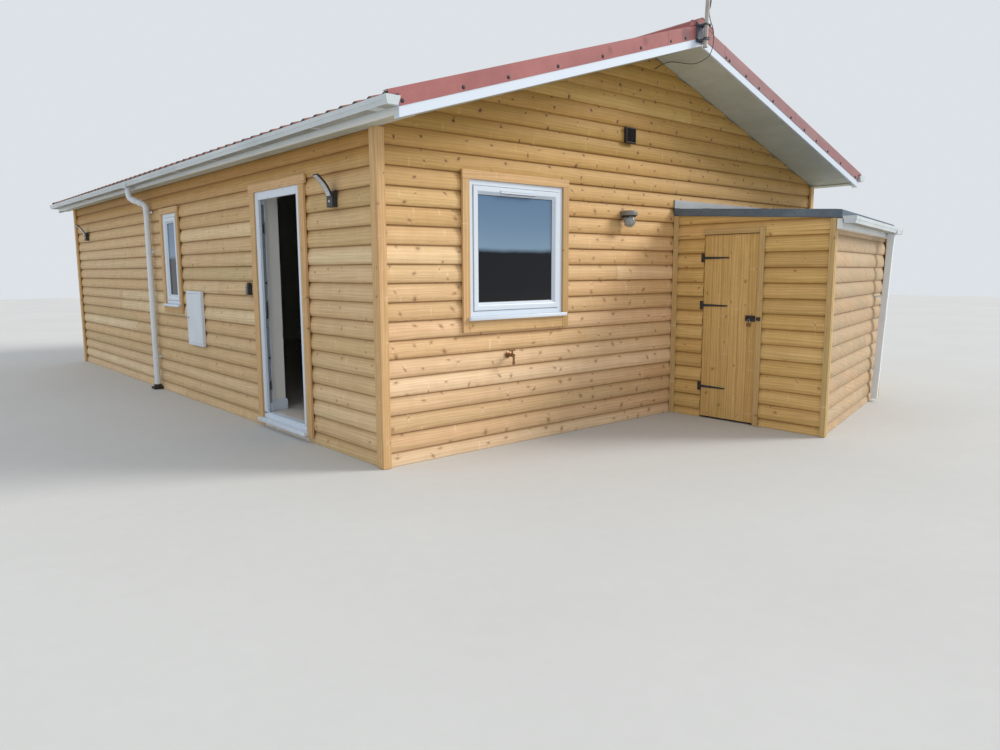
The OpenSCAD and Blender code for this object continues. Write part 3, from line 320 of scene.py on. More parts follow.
# Tints by height: the walls are paler at the foot, and under the roof darker and more golden, which is painted shade
# of the overhang
GABLE_TINT_AND_SHADE = [(0, 1.06, 1.13, 1.30), (0.35, 1.10, 1.14, 1.21), (0.56, 0.97, 0.96, 0.80), (0.70, 0.77, 0.71, 0.42),
              (1, 0.71, 0.66, 0.33)]
SIDE_TINT_AND_SHADE = [(0, 1.02, 1.15, 1.24), (0.45, 1, 1.11, 1.18), (0.6, 0.95, 1, 0.93), (0.655, 0.72, 0.62, 0.33),
             (1, 0.62, 0.48, 0.18)]
board = [wood(f"lap_board_{n}", i, PINE, k, lines=0.13, rise=r, foot=FIRST, swell=s)
         for i, n, r, k, s in ((X, "x", GABLE_TINT_AND_SHADE, 0.8, 1.2), (Y, "y", SIDE_TINT_AND_SHADE, 0.4, 0.8))]
trim = [wood(f"trim_board_{n}", i, TRIM, 0.4, 0.56, 0.17, swell=0.8) for i, n in enumerate("xyz")]
store_board = [wood(f"store_board_{n}", i, STORE_PINE, 0.45, lines=0.17, foot=STORE_FIRST, swell=0.8)
               for i, n in enumerate("xy")]
plank = [wood(f"plank_{n}", i, STORE_PINE, 0.6, lines=0.2, swell=0.9) for i, n in ((Y, "y"), (Z, "z"))]
store_strip = [wood(f"store_strip_{n}", i, STORE_TRIM, 0.3, 0.56, 0.15, swell=0.8) for i, n in enumerate("xyz")]
# The store's outer wall: a greyer pine, darker than the store's other boards as painted shade, with weaker painted
# lap shade
shaded_pale_board = wood("shaded_pale_board", X, SHADED_PINE, 0.4, lines=0.16, foot=STORE_FIRST, swell=0.8, lap_shade=0.45)
inner_board = wood("inner_board", Y, [(0, 0.5, 0.36, 0.2), (1, 0.56, 0.4, 0.23)], 0.3)
floor_wood = wood("floor_board", X, [(0, 0.78, 0.73, 0.66), (1, 0.83, 0.78, 0.71)], 0.1, 0.45, 0.05)
upvc = finish("white_upvc", (0.715, 0.785, 0.875), (0.685, 0.76, 0.855), 0.3, 0.05, 2.2, 80, 0.03)
fascia_white = finish("white_fascia", (0.83, 0.85, 0.84), (0.76, 0.79, 0.78), 0.36, 0.08, 1.6, 60, 0.04)
gutter_white = finish("gutter_white", (0.62, 0.675, 0.70), (0.53, 0.585, 0.605), 0.38, 0.1, 1.4, 70, 0.04)
pipe_white = finish("pipe_white", (0.80, 0.85, 0.90), (0.73, 0.78, 0.82), 0.38, 0.1, 1.4, 70, 0.04)
meter_white = finish("meter_white", (0.745, 0.80, 0.87), (0.69, 0.74, 0.80), 0.5, 0.08, 3, 220, 0.2, 0.0006)
soffit_paint = streaked("soffit_paint", (0.60, 0.62, 0.53), (0.53, 0.55, 0.46), (0.48, 0.49, 0.40),
                        0.6, (3, 1, 1), 120, 0.1)
# Rust stains on the front flashing
RUST = [((-0.24, -5.105, 3.495), 0.075), ((-1.23, -5.105, 3.185), 0.05), ((-0.79, -5.105, 3.33), 0.045)]
# its last argument paints shade on the +X slope's flashing, greyer and bluer
terracotta = streaked("dusty_terracotta", (0.41, 0.13, 0.125), (0.33, 0.10, 0.10), (0.46, 0.20, 0.185),
                      0.68, (1, 7, 1), 140, 0.12, RUST, (0.79, 1.13, 1.2))
# Dark brown for the roof sheets' eaves: painted shade of the pans' open ends
tile_edge_shade = streaked("tile_edge_shade", (0.075, 0.045, 0.04), (0.035, 0.027, 0.027), (0.15, 0.075, 0.06),
                     0.7, (1, 6, 1), 160, 0.3)
tile_red = streaked("tile_sheet", (0.30, 0.105, 0.07), (0.21, 0.075, 0.055), (0.38, 0.17, 0.11),
                    0.66, (1, 6, 1), 160, 0.3)
felt = streaked("mineral_felt", (0.09, 0.125, 0.165), (0.12, 0.16, 0.205), (0.20, 0.24, 0.285),
                0.85, (1, 1, 3), 420, 0.6)
flashing_grey = streaked("flashing_strip", (0.36, 0.38, 0.40), (0.29, 0.31, 0.335), (0.44, 0.45, 0.46),
                         0.6, (1, 5, 1), 200, 0.3)
black_metal = finish("black_metal", (0.022, 0.023, 0.026), (0.034, 0.034, 0.036), 0.42, 0.1, 9, 260, 0.15)
black_plastic = finish("black_plastic", (0.018, 0.015, 0.014), (0.034, 0.027, 0.024), 0.62, 0.1, 7, 180, 0.2)
gasket = finish("gasket", (0.02, 0.021, 0.022), (0.03, 0.03, 0.031), 0.6, 0.08, 12, 90, 0.1)
lamp_grey = finish("lamp_grey", (0.25, 0.24, 0.22), (0.18, 0.175, 0.16), 0.42, 0.1, 8, 240, 0.2)
brass = finish("tap_brass", (0.34, 0.19, 0.085), (0.20, 0.11, 0.06), 0.4, 0.12, 14, 160, 0.15, Metallic=0.7)
steel = finish("brushed_steel", (0.55, 0.56, 0.57), (0.42, 0.43, 0.44), 0.32, 0.1, 10, 200, 0.08, Metallic=0.85)
cream = finish("cream_paint", (0.52, 0.48, 0.44), (0.36, 0.33, 0.30), 0.5, 0.1, 5, 120, 0.15)
sheath = finish("cable_sheath", (0.05, 0.036, 0.03), (0.07, 0.05, 0.04), 0.5, 0.08, 12, 150, 0.1)
plaster = finish("painted_plaster", (0.90, 0.87, 0.79), (0.86, 0.83, 0.75), 0.75, 0.06, 1.8, 90, 0.3, 0.0012)
ceiling = finish("painted_board", (0.66, 0.65, 0.61), (0.60, 0.59, 0.55), 0.75, 0.06, 1.8, 90, 0.2, 0.001)
led_panel = finish("lamp_face", (0.62, 0.63, 0.64), (0.46, 0.47, 0.48), 0.3, 0.08, 60, 300, 0.2)
# Darker grey for the gutters' undersides: painted shade
gutter_underside_shade = finish("gutter_underside_shade", (0.40, 0.41, 0.38), (0.28, 0.29, 0.27), 0.6, 0.1, 1.8, 40, 0.1)
galvanised = spangled("galvanised_steel")
# Painted reflection for the window glass: near black below, sky blue above
PAINTED_SKY_REFLECTION = [(0, 0.006, 0.0065, 0.009), (0.495, 0.004, 0.0045, 0.007), (0.53, 0.20, 0.30, 0.41),
               (0.68, 0.15, 0.245, 0.37), (0.9, 0.115, 0.195, 0.32)]
window_glass = glazing("window_glass", PAINTED_SKY_REFLECTION, Specular_IOR_Level=0.25)
clear_glass = glazing("clear_glass", [(0, 0.86, 0.89, 0.90), (1, 0.92, 0.94, 0.95)], Transmission_Weight=0.85)


# ---------------------------------------------------------------- shapes
class Shape:
    """Faces gathered for one piece. Points are shared inside one part of it, and never between two parts."""

    def __init__(self):
        self.verts, self.faces, self.mats, self.tones, self.seen, self.part = [], [], [], [], {}, 0

    def face(self, points, mat=0, tone=0.5):
        ids = []
        for q in points:
            key = (self.part, *(round(c, 2) for c in q))
            if key not in self.seen:
                self.seen[key] = len(self.verts)
                self.verts.append([c / 1000 for c in q])
            if self.seen[key] not in ids:
                ids.append(self.seen[key])
        if len(ids) > 2:
            self.faces.append(ids)
            self.mats.append(mat)
            self.tones.append(tone)

    def skin(self, rings, mat=0, tone=0.5, caps=True):
        """Closed rings of points, joined each to the next."""
        for one, two in zip(rings, rings[1:]):
            for i in range(len(one)):
                j = (i + 1) % len(one)
                self.face([one[i], one[j], two[j], two[i]], mat, tone)
        if caps:
            self.face(rings[0][::-1], mat, tone)
            self.face(rings[-1], mat, tone)

    def sweep(self, outline, place, s0, s1, mat=0, tone=0.5, caps=True):
        """An outline of (a, b) carried from s0 to s1 through place(a, b, s)."""
        self.part += 1
        self.skin([[place(a, b, s) for a, b in outline] for s in sorted((s0, s1))], mat, tone, caps)

    def box(self, x0, x1, y0, y1, z0, z1, mat=0, tone=0.5):
        (x0, x1), (y0, y1) = sorted((x0, x1)), sorted((y0, y1))
        self.sweep([(x0, y0), (x1, y0), (x1, y1), (x0, y1)], lambda a, b, s: (a, b, s), z0, z1, mat, tone)

    def slab(self, place, u0, u1, z0, z1, d0, d1, mat=0, tone=0.5):
        """A box on a wall: u along it, d out from its face."""
        self.sweep([(u0, z0), (u1, z0), (u1, z1), (u0, z1)], place, d0, d1, mat, tone)

    def turned(self, centre, axis, profile, sides=32):
        """A profile of (distance along the axis, radius) turned about it."""
        self.part += 1
        centre, axis = Vector(centre), Vector(axis).normalized()
        side = axis.orthogonal().normalized()
        up = axis.cross(side)
        rays = [side * math.cos(t) + up * math.sin(t) for t in (2 * math.pi * k / sides for k in range(sides))]
        self.skin([[centre + axis * h + ray * r for ray in rays] for h, r in profile])

    def tube(self, path, radius, sides=16):
        self.part += 1
        pts = [Vector(q) for q in path]
        side = (pts[1] - pts[0]).orthogonal().normalized()
        rings = []
        for i, q in enumerate(pts):
            t = (pts[min(i + 1, len(pts) - 1)] - pts[max(i - 1, 0)]).normalized()
            side = (side - t * side.dot(t)).normalized()
            up = t.cross(side)
            rings.append([q + (side * math.cos(a) + up * math.sin(a)) * radius
                          for a in (2 * math.pi * k / sides for k in range(sides))])
        self.skin(rings)

    def ring(self, place, u0, u1, z0, z1, section):
        """A mitred frame: a closed section of (inset, out from the wall) carried round a rectangle."""
        self.part += 1
        corners = [(u0, z0, 1, 1), (u1, z0, -1, 1), (u1, z1, -1, -1), (u0, z1, 1, -1)]
        rows = [[place(u + su * i, z + sz * i, d) for i, d in section] for u, z, su, sz in corners]
        self.skin(rows + rows[:1], caps=False)

    def sheet(self, rows, mat=0, tone=lambda row, k: 0.5):
        """Open rows of points, joined each to the next."""
        for r, (one, two) in enumerate(zip(rows, rows[1:])):
            for k in range(len(one) - 1):
                self.face([one[k], one[k + 1], two[k + 1], two[k]], mat(r) if callable(mat) else mat, tone(r, k))


def ease(obj, width, angle):
    """Rounded edges, of a width in millimetres."""
    edges = obj.modifiers.new("edges", "BEVEL")
    edges.width, edges.segments, edges.limit_method = width / 1000, 2, "ANGLE"
    edges.angle_limit = math.radians(angle)
    edges.harden_normals = True


def make(name, shape, mats, slot, *stands_for, body="hut", bevel=0.0, angle=32):
    mesh = bpy.data.meshes.new(name)
    mesh.from_pydata(shape.verts, [], shape.faces)
    for m in (mats if isinstance(mats, list) else [mats]):
        mesh.materials.append(m)
    mesh.polygons.foreach_set("material_index", shape.mats)
    mesh.attributes.new("tone", "FLOAT", "FACE").data.foreach_set("value", shape.tones)
    bm = bmesh.new()
    bm.from_mesh(mesh)
    bmesh.ops.recalc_face_normals(bm, faces=bm.faces)
    bm.to_mesh(mesh)
    bm.free()
    mesh.polygons.foreach_set("use_smooth", [True] * len(mesh.polygons))
    obj = bpy.data.objects.new(name, mesh)
    scene.collection.objects.link(obj)
    if bevel:
        ease(obj, bevel, angle)
    else:
        mesh.set_sharp_from_angle(angle=math.radians(angle))
    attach(obj, body)
    if stands_for:
        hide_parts(*stands_for)


def carry(node, mat, bevel=0.0, angle=40):
    """A solid that shows as it is, with a finish and, where it is moulded or sawn, eased edges."""
    obj = nodes[node]
    for s in obj.material_slots:
        s.material = mat
    if bevel:
        weld = obj.modifiers.new("weld", "WELD")
        weld.merge_threshold = 0.00002
        ease(obj, bevel, angle)
        obj.data.polygons.foreach_set("use_smooth", [True] * len(obj.data.polygons))


# Places on the walls: u along the wall, z up and d out from its face
def left(u, z, d):
    return (-HALF_W - d, u, z)


def right(u, z, d):
    return (HALF_W + d, u, z)


def front(u, z, d):
    return (u, -HALF_L - d, z)


def back(u, z, d):
    return (-u, HALF_L + d, z)


def store_left(u, z, d):
    return (STORE_X0 - d, u, z)


def store_right(u, z, d):
    return (STORE_X1 + d, u, z)


def store_out(u, z, d):
    return (STORE_X0 + u * COS + d * SIN, STORE_Y0 + u * SIN - d * COS, z)


def along_y(a, b, s):
    return (a, s, b)


def mirrored(side, outline):
    return [(side * x, z) for x, z in outline]


def band(side, x0, x1, a, b):
    """A strip of the roof's section, between two heights over its underside."""
    return mirrored(side, [(x, under(x) + h) for x, h in ((x0, a), (x1, a), (x1, b), (x0, b))])


# ---------------------------------------------------------------- cladding
# Height over a board's foot, and how far its face is set back from its fullest line
LAP = [(0, 20.5), (0, 10.5), (3.5, 7.8), (9, 5.6), (17, 3.5), (27, 1.7), (39, 0.5), (52, 0), (66, 0.6), (80, 2.6),
       (93, 5.6), (105, 9.3), (116, 13.2), (126, 16.9), (134, 19.2), (140, 20.5)]


def levels(foot, low, high, extra):
    """The lines of one course, cut at the heights that matter."""
    pairs = [(foot + h, d) for h, d in LAP]
    cuts = sorted({low, high, *extra})
    made = []
    for (za, da), (zb, db) in zip(pairs, pairs[1:]):
        made.append((za, da))
        made += [(c, da + (db - da) * (c - za) / (zb - za)) for c in cuts if za + 0.001 < c < zb - 0.001]
    made.append(pairs[-1])
    return [(z, d) for z, d in made if low <= z <= high]


def cladding(shape, place, ends, top, holes, mat, seed, joints=0.0, extra=(), foot=FIRST, sink=0.0):
    """Courses of barrel-faced boards. ends(z) gives the wall's span there, and holes are (u0, u1, z0, z1).
    joints is the share of courses that are made of two lengths."""
    rng = random.Random(seed)
    marks = list(extra) + [z for h in holes for z in h[2:]]
    while foot < top - 1:
        whole = [h for h in holes if h[2] <= foot + 4 and h[3] >= foot + PITCH - 4]
        notches = [h for h in holes if h not in whole and h[2] < foot + PITCH and h[3] > foot]
        u0, u1 = ends(max(foot, 0.0))
        at = u0 + (u1 - u0) * rng.uniform(0.25, 0.75)
        edges = [u0 - 1000, *(u for h in sorted(whole) for u in h[:2]), u1 + 1000]
        free = list(zip(edges[::2], edges[1::2]))
        if rng.random() < joints:
            free = [q for a, b in free
                    for q in (((a, at - 0.7), (at + 0.7, b)) if a < at - 300 and b > at + 300 else ((a, b),))]
        for a, b in free:
            shape.part += 1
            tone, back = rng.random(), sink + rng.uniform(0, 1.2)
            rows = levels(foot, 0, top, marks)
            for (za, da), (zb, db) in zip(rows, rows[1:]):
                spans = [(a, b)]
                for h in notches:
                    if h[2] < (za + zb) / 2 < h[3]:
                        spans = [q for p0, p1 in spans for q in ((p0, min(p1, h[0])), (max(p0, h[1]), p1))
                                 if q[1] > q[0]]
                for p0, p1 in spans:
                    la, ra = max(p0, ends(za)[0]), min(p1, ends(za)[1])
                    lb, rb = max(p0, ends(zb)[0]), min(p1, ends(zb)[1])
                    if ra - la < 0.1 and rb - lb < 0.1:
                        continue
                    if rb < lb:
                        lb = rb = (la + ra) / 2 if lb > ends(zb)[0] or rb < ends(zb)[1] else (lb + rb) / 2
                    shape.face([place(la, za, -da - back), place(ra, za, -da - back),
                                place(rb, zb, -db - back), place(lb, zb, -db - back)], mat, tone)
        foot += PITCH


def core(shape, place, u0, u1, top, holes, thick, mat):
    """The wall behind its boards, in blocks round its openings."""
    us = sorted({u0, u1, *(u for h in holes for u in h[:2])})
    zs = sorted({0, top, *(min(max(z, 0), top) for h in holes for z in h[2:])})
    for a, b in zip(us, us[1:]):
        for c, d in zip(zs, zs[1:]):
            if not any(h[0] < (a + b) / 2 < h[1] and h[2] < (c + d) / 2 < h[3] for h in holes):
                shape.slab(place, a, b, c, d, -BOARD_T, -thick, mat)


def gable_ends(z):
    reach = max(min(3075, HALF_W - max(0, z - EAVES) / FALL), 0)
    return (-reach, reach)


def side_ends(z):
    return (-4585, 4585)


def store_ends(z):
    return (-HALF_L - min(1600, (STORE_TOP - z) / STORE_FALL), -HALF_L)


def far_ends(z):
    return (-HALF_L - min(937, (STORE_TOP - z) / (FAR_FALL * COS)), -HALF_L)


for name, place, holes, seed, replaced in (
        ("left", left, [DOOR, SIDE_WINDOW], 11, ("left_wall_front", "left_wall_over_door", "left_wall_rear")),
        ("right", right, [SIDE_WINDOW], 23, ("right_wall",))):
    shape = Shape()
    cladding(shape, place, side_ends, EAVES, holes, 0, seed, 0.8)
    core(shape, place, -4390, 4390, EAVES + 10, holes, WALL_T, 1)
    make(f"{name}_cladding", shape, [board[1], plaster], "timber_boards", *replaced, angle=42)

for name, place, seed in (("front", front, 5), ("back", back, 17)):
    shape = Shape()
    cladding(shape, place, gable_ends, under(0), [GABLE_WINDOW], 0, seed, 0.45, (EAVES,))
    core(shape, place, -3066, 3066, EAVES, [GABLE_WINDOW], WALL_T, 1)
    shape.sweep([(-3066, EAVES), (3066, EAVES), (0, under(0))], place, -BOARD_T, -WALL_T, 1)
    make(f"{name}_cladding", shape, [board[0], plaster], "timber_boards", f"{name}_wall", angle=42)

shape = Shape()
for place, ends, top, holes, mat, seed, extra, sink in (
        (store_left, store_ends, STORE_TOP - 1, [HATCH], 1, 31, (FOLD_Z,), 0),
        (store_right, far_ends, STORE_TOP - 1, [], 1, 37, (FOLD_Z,), 0),
        (store_out, lambda z: (24, 1829.2), STORE_HEAD, [], 3, 41, (), 0),
        (store_out, lambda z: (1830.8, FRONT_L - 24), STORE_HEAD, [], 3, 47, (), 2.5)):
    cladding(shape, place, ends, top, holes, mat, seed, 0.0, extra, STORE_FIRST, sink)
core(shape, store_left, -6145, -HALF_L, STORE_HEAD, [HATCH], STORE_T, 2)
core(shape, store_right, -5515, -HALF_L, STORE_HEAD, [], STORE_T, 2)
core(shape, store_out, 46, FRONT_L - 46, STORE_HEAD, [], STORE_T, 2)
for place, far in ((store_left, -6145), (store_right, -5515)):
    shape.sweep([(far, STORE_HEAD), (-HALF_L, STORE_HEAD), (-HALF_L, STORE_TOP - 1)], place, -BOARD_T, -STORE_T, 2)
make("store_cladding", shape, [*store_board, inner_board, shaded_pale_board], "timber_boards", "store_wall_hinge_side",
     "store_wall_bolt_side", "store_wall_over_door", "store_outer_wall", "store_far_wall", angle=42)

# ---------------------------------------------------------------- corner boards and trims
rng = random.Random(3)
shape = Shape()
for sx in (-1, 1):
    for sy in (-1, 1):
        shape.box(sx * 3115, sx * 3045, sy * 4625, sy * 4600.5, 0, 2453, Z, rng.random())
        shape.box(sx * 3115, sx * 3090.5, sy * 4599.5, sy * 4530, 0, 2453, Z, rng.random())
make("corner_posts", shape, trim, "new_timber", "corner_boards", bevel=3)

shape = Shape()
shape.slab(left, -3485, -3391, 45, 2165, 0, 22, Z, 0.2)
shape.slab(left, -2489, -2395, 45, 2165, 0, 22, Z, 0.55)
shape.slab(left, -3505, -2375, 2166, 2241, 0, 22, Y, 0.4)
make("door_boards", shape, trim, "new_timber", "door_trim", bevel=2.5)
shape = Shape()
skirting = [(0, 0), (15, 0), (15, 85), (11, 94), (6, 100), (0, 100)]
shape.box(-3025, -2880.5, -2505, -2490, 142, 242)
shape.sweep(skirting, lambda a, b, s: (-2880 + a, s, 142 + b), -2505, -2240)
make("skirting_end", shape, upvc, "white_plastic", bevel=1.5)

# Each window's wall and opening, the grain of its level trims, and how far the trims reach below it
WINDOWS = [(front, *GABLE_WINDOW, X, 95), (back, *GABLE_WINDOW, X, 95),
           (left, *SIDE_WINDOW, Y, 70), (right, *SIDE_WINDOW, Y, 70)]
shape = Shape()
for place, u0, u1, z0, z1, grain, low in WINDOWS:
    shape.slab(place, u0 - 70, u1 + 70, z1 + 0.5, z1 + 70, 0, 22, grain, rng.random())
    shape.slab(place, u0 - 70, u0 - 0.5, z0 - low, z1 - 0.5, 0, 22, Z, rng.random())
    shape.slab(place, u1 + 0.5, u1 + 70, z0 - low, z1 - 0.5, 0, 22, Z, rng.random())
    shape.slab(place, u0 + 0.5, u1 - 0.5, z0 - low, z0 - 0.5, 0, 21.5, grain, rng.random())
make("window_boards", shape, trim, "new_timber", "window_trims", bevel=2.5)

shape = Shape()
for x0, y0, y1, z0, z1, grain in (
        (339, -4650, -4600, 0, 1986.8, Z), (339, -6252, -6202, 0, 1883.5, Z), (3013.5, -5567, -5517, 0, 1882.5, Z),
        (3013.5, -4650, -4600, 0, 1983, Z), (339, -5600, -5550, 0, 1840, Z), (339, -5549, -4955, 1790, 1840, Y)):
    shape.box(x0, x0 + 21.5, y0, y1, z0, z1, grain, rng.random())
for u in (0, FRONT_L - 50):
    shape.slab(store_out, u, u + 50, 0, 1882.5, 0.5, 22, Z, rng.random())
make("store_boards", shape, store_strip, "new_timber", "store_trims", bevel=2.5)

# ---------------------------------------------------------------- roof
WAVES, TILE_ROWS, TILE_ROW = 54, 10, 330
WAVE_W = 2 * ROOF_Y / WAVES


def pan_height(t):
    return 0.5 - 0.5 * math.cos(4 * math.pi * t) if t < 0.5 else -0.12 * math.sin(2 * math.pi * (t - 0.5))


# Each line of the sheets, from the eaves up: its distance from the ridge, and its lift over the slope
lines = []
for i in range(TILE_ROWS):
    low = TILE_X - TILE_ROW * i
    lines += [(low, 0 if i else -6), (low - 1.5, 8.5), (low - 8, 10.5)]
lines.append((TILE_X - TILE_ROW * TILE_ROWS, 0))
across = [-ROOF_Y + WAVE_W * (k + t) for k in range(WAVES)
          for t in (0, 0.06, 0.12, 0.18, 0.25, 0.32, 0.38, 0.44, 0.5, 0.62, 0.75, 0.88)] + [ROOF_Y]
for name, side in (("left", -1), ("right", 1)):
    shape = Shape()
    rows = [[(side * x, y, under(x) + 153.5 + lift + 19.5 * pan_height((y + ROOF_Y) / WAVE_W % 1)) for y in across]
            for x, lift in lines]
    # the first two rows at the eaves take the dark brown: painted shade of the pans' open ends
    shape.sheet(rows, lambda r: int(r < 2), lambda r, k: random.Random(r // 3 * 97 + k // 36).random())
    make(f"roof_sheets_{name}", shape, [tile_red, tile_edge_shade], "roof_sheet", "roof_tiles", angle=38)

carry("roof_decks", ceiling)


def cap_section(lift):
    """The ridge cap's section: over the top from left to right, and back inside."""
    over = [(180, under(180) + 185.5)] + [(x, under(at) + z + lift) for x, at, z in
                                          ((179.5, 180, 191), (167, 167, 227.5), (12, 12, 241.5))]
    inside = [(177, under(180) + 185.5), (164.5, under(167) + 224.5)]
    return ([(-x, z) for x, z in over] + [(0, under(0) + 242.5 + lift)] + over[::-1]
            + inside + [(0, under(0) + 239.5)] + [(-x, z) for x, z in inside[::-1]])


# Ridge cap in lapped lengths, with closed ends
shape = Shape()
cuts = [-5105, -3550, -1800, -50, 1700, 3450, 5105]
for i, (a, b) in enumerate(zip(cuts, cuts[1:])):
    shape.sweep(cap_section(0), along_y, a, b - 2, 0, rng.random())
    if i:
        shape.sweep(cap_section(2.2), along_y, a - 60, a + 4, 0, rng.random())
end_plate = [(x, under(x) + z) for x, z in ((-176, 190), (-164, 224), (0, 238.5), (164, 224), (176, 190), (0, 187))]
for sy in (-1, 1):
    shape.sweep(end_plate, along_y, sy * 5098, sy * 5101.5, 0, 0.3)
make("ridge_capping", shape, terracotta, "roof_sheet", "ridge_cap", angle=25)

# Verge flashings in lengths, folded over the tiles, with a hem at the foot of the face: (height, out) pairs
FACE = [(69.5, 0.4), (69.5, 4.2), (78, 3.4), (176, 3.4), (183, 2.2), (187.5, -1), (189.3, -6), (189.3, -60),
        (185.8, -61), (185.8, -60.5), (187.8, -59), (187.8, -6.5), (182, 0.6), (176, 1.8), (74, 1.8)]
# The same under the ridge cap, which has no fold, and past the fascia, which has no face
SHORT = [*FACE[:3], (183.5, 3.4), (183.5, 1.8), FACE[-1]]
TIP = [(148, 3.4), *FACE[3:-1], (148, 1.8)]
SCREW = [(0, 15), (1.2, 15), (1.6, 10.2), (5.2, 9.8), (5.8, 7)]
# Distances from the ridge, on the left slope and the right one as seen from the front
SCREWS = {-1: (241, 448, 846, 1314, 1809, 2303, 2710, 3205),
          1: (391, 447, 736, 976, 1246, 1611, 1900, 2170, 2442, 2761, 3150)}
JOINTS = {-1: (484,), 1: (420, 1750)}
FLASHING_END = 3227.9
shape, fixings = Shape(), Shape()
for sy in (-1, 1):
    for side in (-1, 1):
        which = -side * sy
        cuts = (181, *JOINTS[which], FLASHING_END)
        put = lambda a, b, s: (side * s, sy * (ROOF_Y + b), under(s) + a)
        shape.sweep(SHORT, put, 4, 181, 0, rng.random())
        for i, (a, b) in enumerate(zip(cuts, cuts[1:])):
            shape.sweep(FACE, put, a, b, 0, rng.random())
            if i:
                shape.sweep(FACE, lambda a, b, s: put(a + 0.6, b + 1.2, s), a - 50, a + 2, 0, rng.random())
        shape.sweep(TIP, put, FLASHING_END, TILE_X, 0, rng.random())
        for x in SCREWS[which]:
            fixings.turned(put(98 if which < 0 else 89, 3.4, x), (0, sy, 0), SCREW, 10)
        for x, up in ((60, 231.5), (135, 233.5)):
            fixings.turned(put(up, -12, x), (side * 0.3, 0, 0.95), SCREW, 10)
make("verge_folds", shape, terracotta, "roof_sheet", "verge_flashings", angle=25)
make("roof_screws", fixings, gasket, "black_plastic")

BOX_END = [(3150, under(3150) - 0.5), (ROOF_X, under(ROOF_X) - 0.5), (ROOF_X, 2448), (3210.5, 2448),
           (3210.5, 2452.5), (3150, 2452.5)]
shape = Shape()
for sy in (-1, 1):
    for side in (-1, 1):
        shape.sweep(band(side, 1.2, ROOF_X, 0, 150), along_y, sy * 5080.2, sy * 5100, 0, rng.random())
        shape.sweep(mirrored(side, BOX_END), along_y, sy * 5040, sy * 5079.9)
make("barge_pieces", shape, upvc, "white_plastic", "bargeboards", bevel=2.5)

shape = Shape()
for side in (-1, 1):
    for sy in (-1, 1):
        for a, b in ((3, 1550), (1552, 3087)):
            shape.sweep(band(side, a, b, 0.2, 11.8), along_y, sy * 4601, sy * 5079.5, 0, rng.random())
    for a, b in ((-5079, -2600), (-2598, 0), (2, 2600), (2602, 5079)):
        shape.box(side * 3090.5, side * 3209.5, a, b, 2453.2, 2464.8, 0, rng.random())
make("soffit_boards", shape, soffit_paint, "soffit_board", "soffits", bevel=1.2)

FASCIA = [(3210.5, 2448), (3228.5, 2448), (ROOF_X, 2449.5), (ROOF_X, 2570.5), (3210.5, 2570.5)]
shape = Shape()
for side in (-1, 1):
    for a, b in ((-5079.5, -1), (1, 5079.5)):
        shape.sweep(mirrored(side, FASCIA), along_y, a, b)
shape.slab(store_out, -22, FRONT_L + 22, 1792.7, 1878.2, 22.1, 64.8)
shape.slab(store_out, 50.5, FRONT_L - 50.5, 1792.7, 1882.8, 0.6, 21.9)
make("fascia_boards", shape, fascia_white, "white_plastic", "fascias", bevel=1.5)

# ---------------------------------------------------------------- gutters and pipes
# Sections of (out from the fascia, height over the sole)
OUTER = [(0.6, 60.5), (20.6, 1.2), (99.4, 1.2), (105.2, 25), (106.2, 29), (109.8, 31.5), (112.2, 54.5), (112.6, 60.5)]
INNER = [(106.6, 60.5), (106.6, 57), (109, 54.5), (107.5, 33), (104, 30.5), (102.8, 26.5), (97.4, 4), (22.6, 4),
         (3.4, 60.5)]
UNION = [(0.2, 61.8), (19.8, 0), (100.2, 0), (106.6, 25), (107.8, 28.2), (111.2, 30.5), (113.7, 54.5), (114, 61.8),
         (106, 61.8), (106, 60), (112.2, 60), *OUTER[5:0:-1], (0.8, 61.8)]
STOP = [(0.2, 61.8), (19.8, 0), (100.2, 0), (106.6, 25), (111.2, 30), (114, 61.8)]
# A thin darker skin under the gutter's sole: painted shade
UNDERSIDE_SHADE = [(21.5, 0.4), (98.5, 0.4), (98.5, 1.4), (21.5, 1.4)]


def gutter_run(shape, place, s0, s1, unions, brackets):
    for a, b in ((s0 + 4, OUTLET_Y), (OUTLET_Y, s1 - 4)):
        shape.sweep(OUTER + INNER, place, a, b)
        shape.sweep(UNDERSIDE_SHADE, place, a, b, 1)
    for s in unions:
        shape.sweep(UNION, place, s - 55, s + 55)
        shape.sweep([(a, b - 0.4) for a, b in UNION], place, s - 6, s + 6)
    for s in brackets:
        shape.sweep(UNION, place, s - 14, s + 14)
    for section, length in ((STOP, 6), (UNION, 26)):
        for s in (s0, s1 - length):
            shape.sweep(section, place, s, s + length)


def fallen(s):
    """How far a gutter has fallen at s: 12 mm in all, towards its outlet."""
    return 12 * (1 - min(1, abs(s - OUTLET_Y) / 5900))


shape = Shape()
for side in (-1, 1):
    gutter_run(shape, lambda a, b, s: (side * (ROOF_X + a), s, GUTTER_Z + b - fallen(s)), -5125, 5125,
               (-4930, -1000, 3000), (-4090, -3080, -2030, -280, 1500, 2200, 3800, 4600))
    shape.slab(lambda u, z, d: (side * (ROOF_X + d), u, z), 705, 865, GUTTER_Z - 24, GUTTER_Z + 49.5, 18, 113.8)
gutter_run(shape, lambda a, b, s: store_out(s, STORE_GUTTER_Z + b, 65 + a), -42, FRONT_L - 120, (), (130, 900, 1780))
shape.slab(store_out, 2206, 2330, 1824, 1895, 88, 178)
make("gutter_runs", shape, [gutter_white, gutter_underside_shade], "white_plastic", "gutters", bevel=0.8, angle=40)


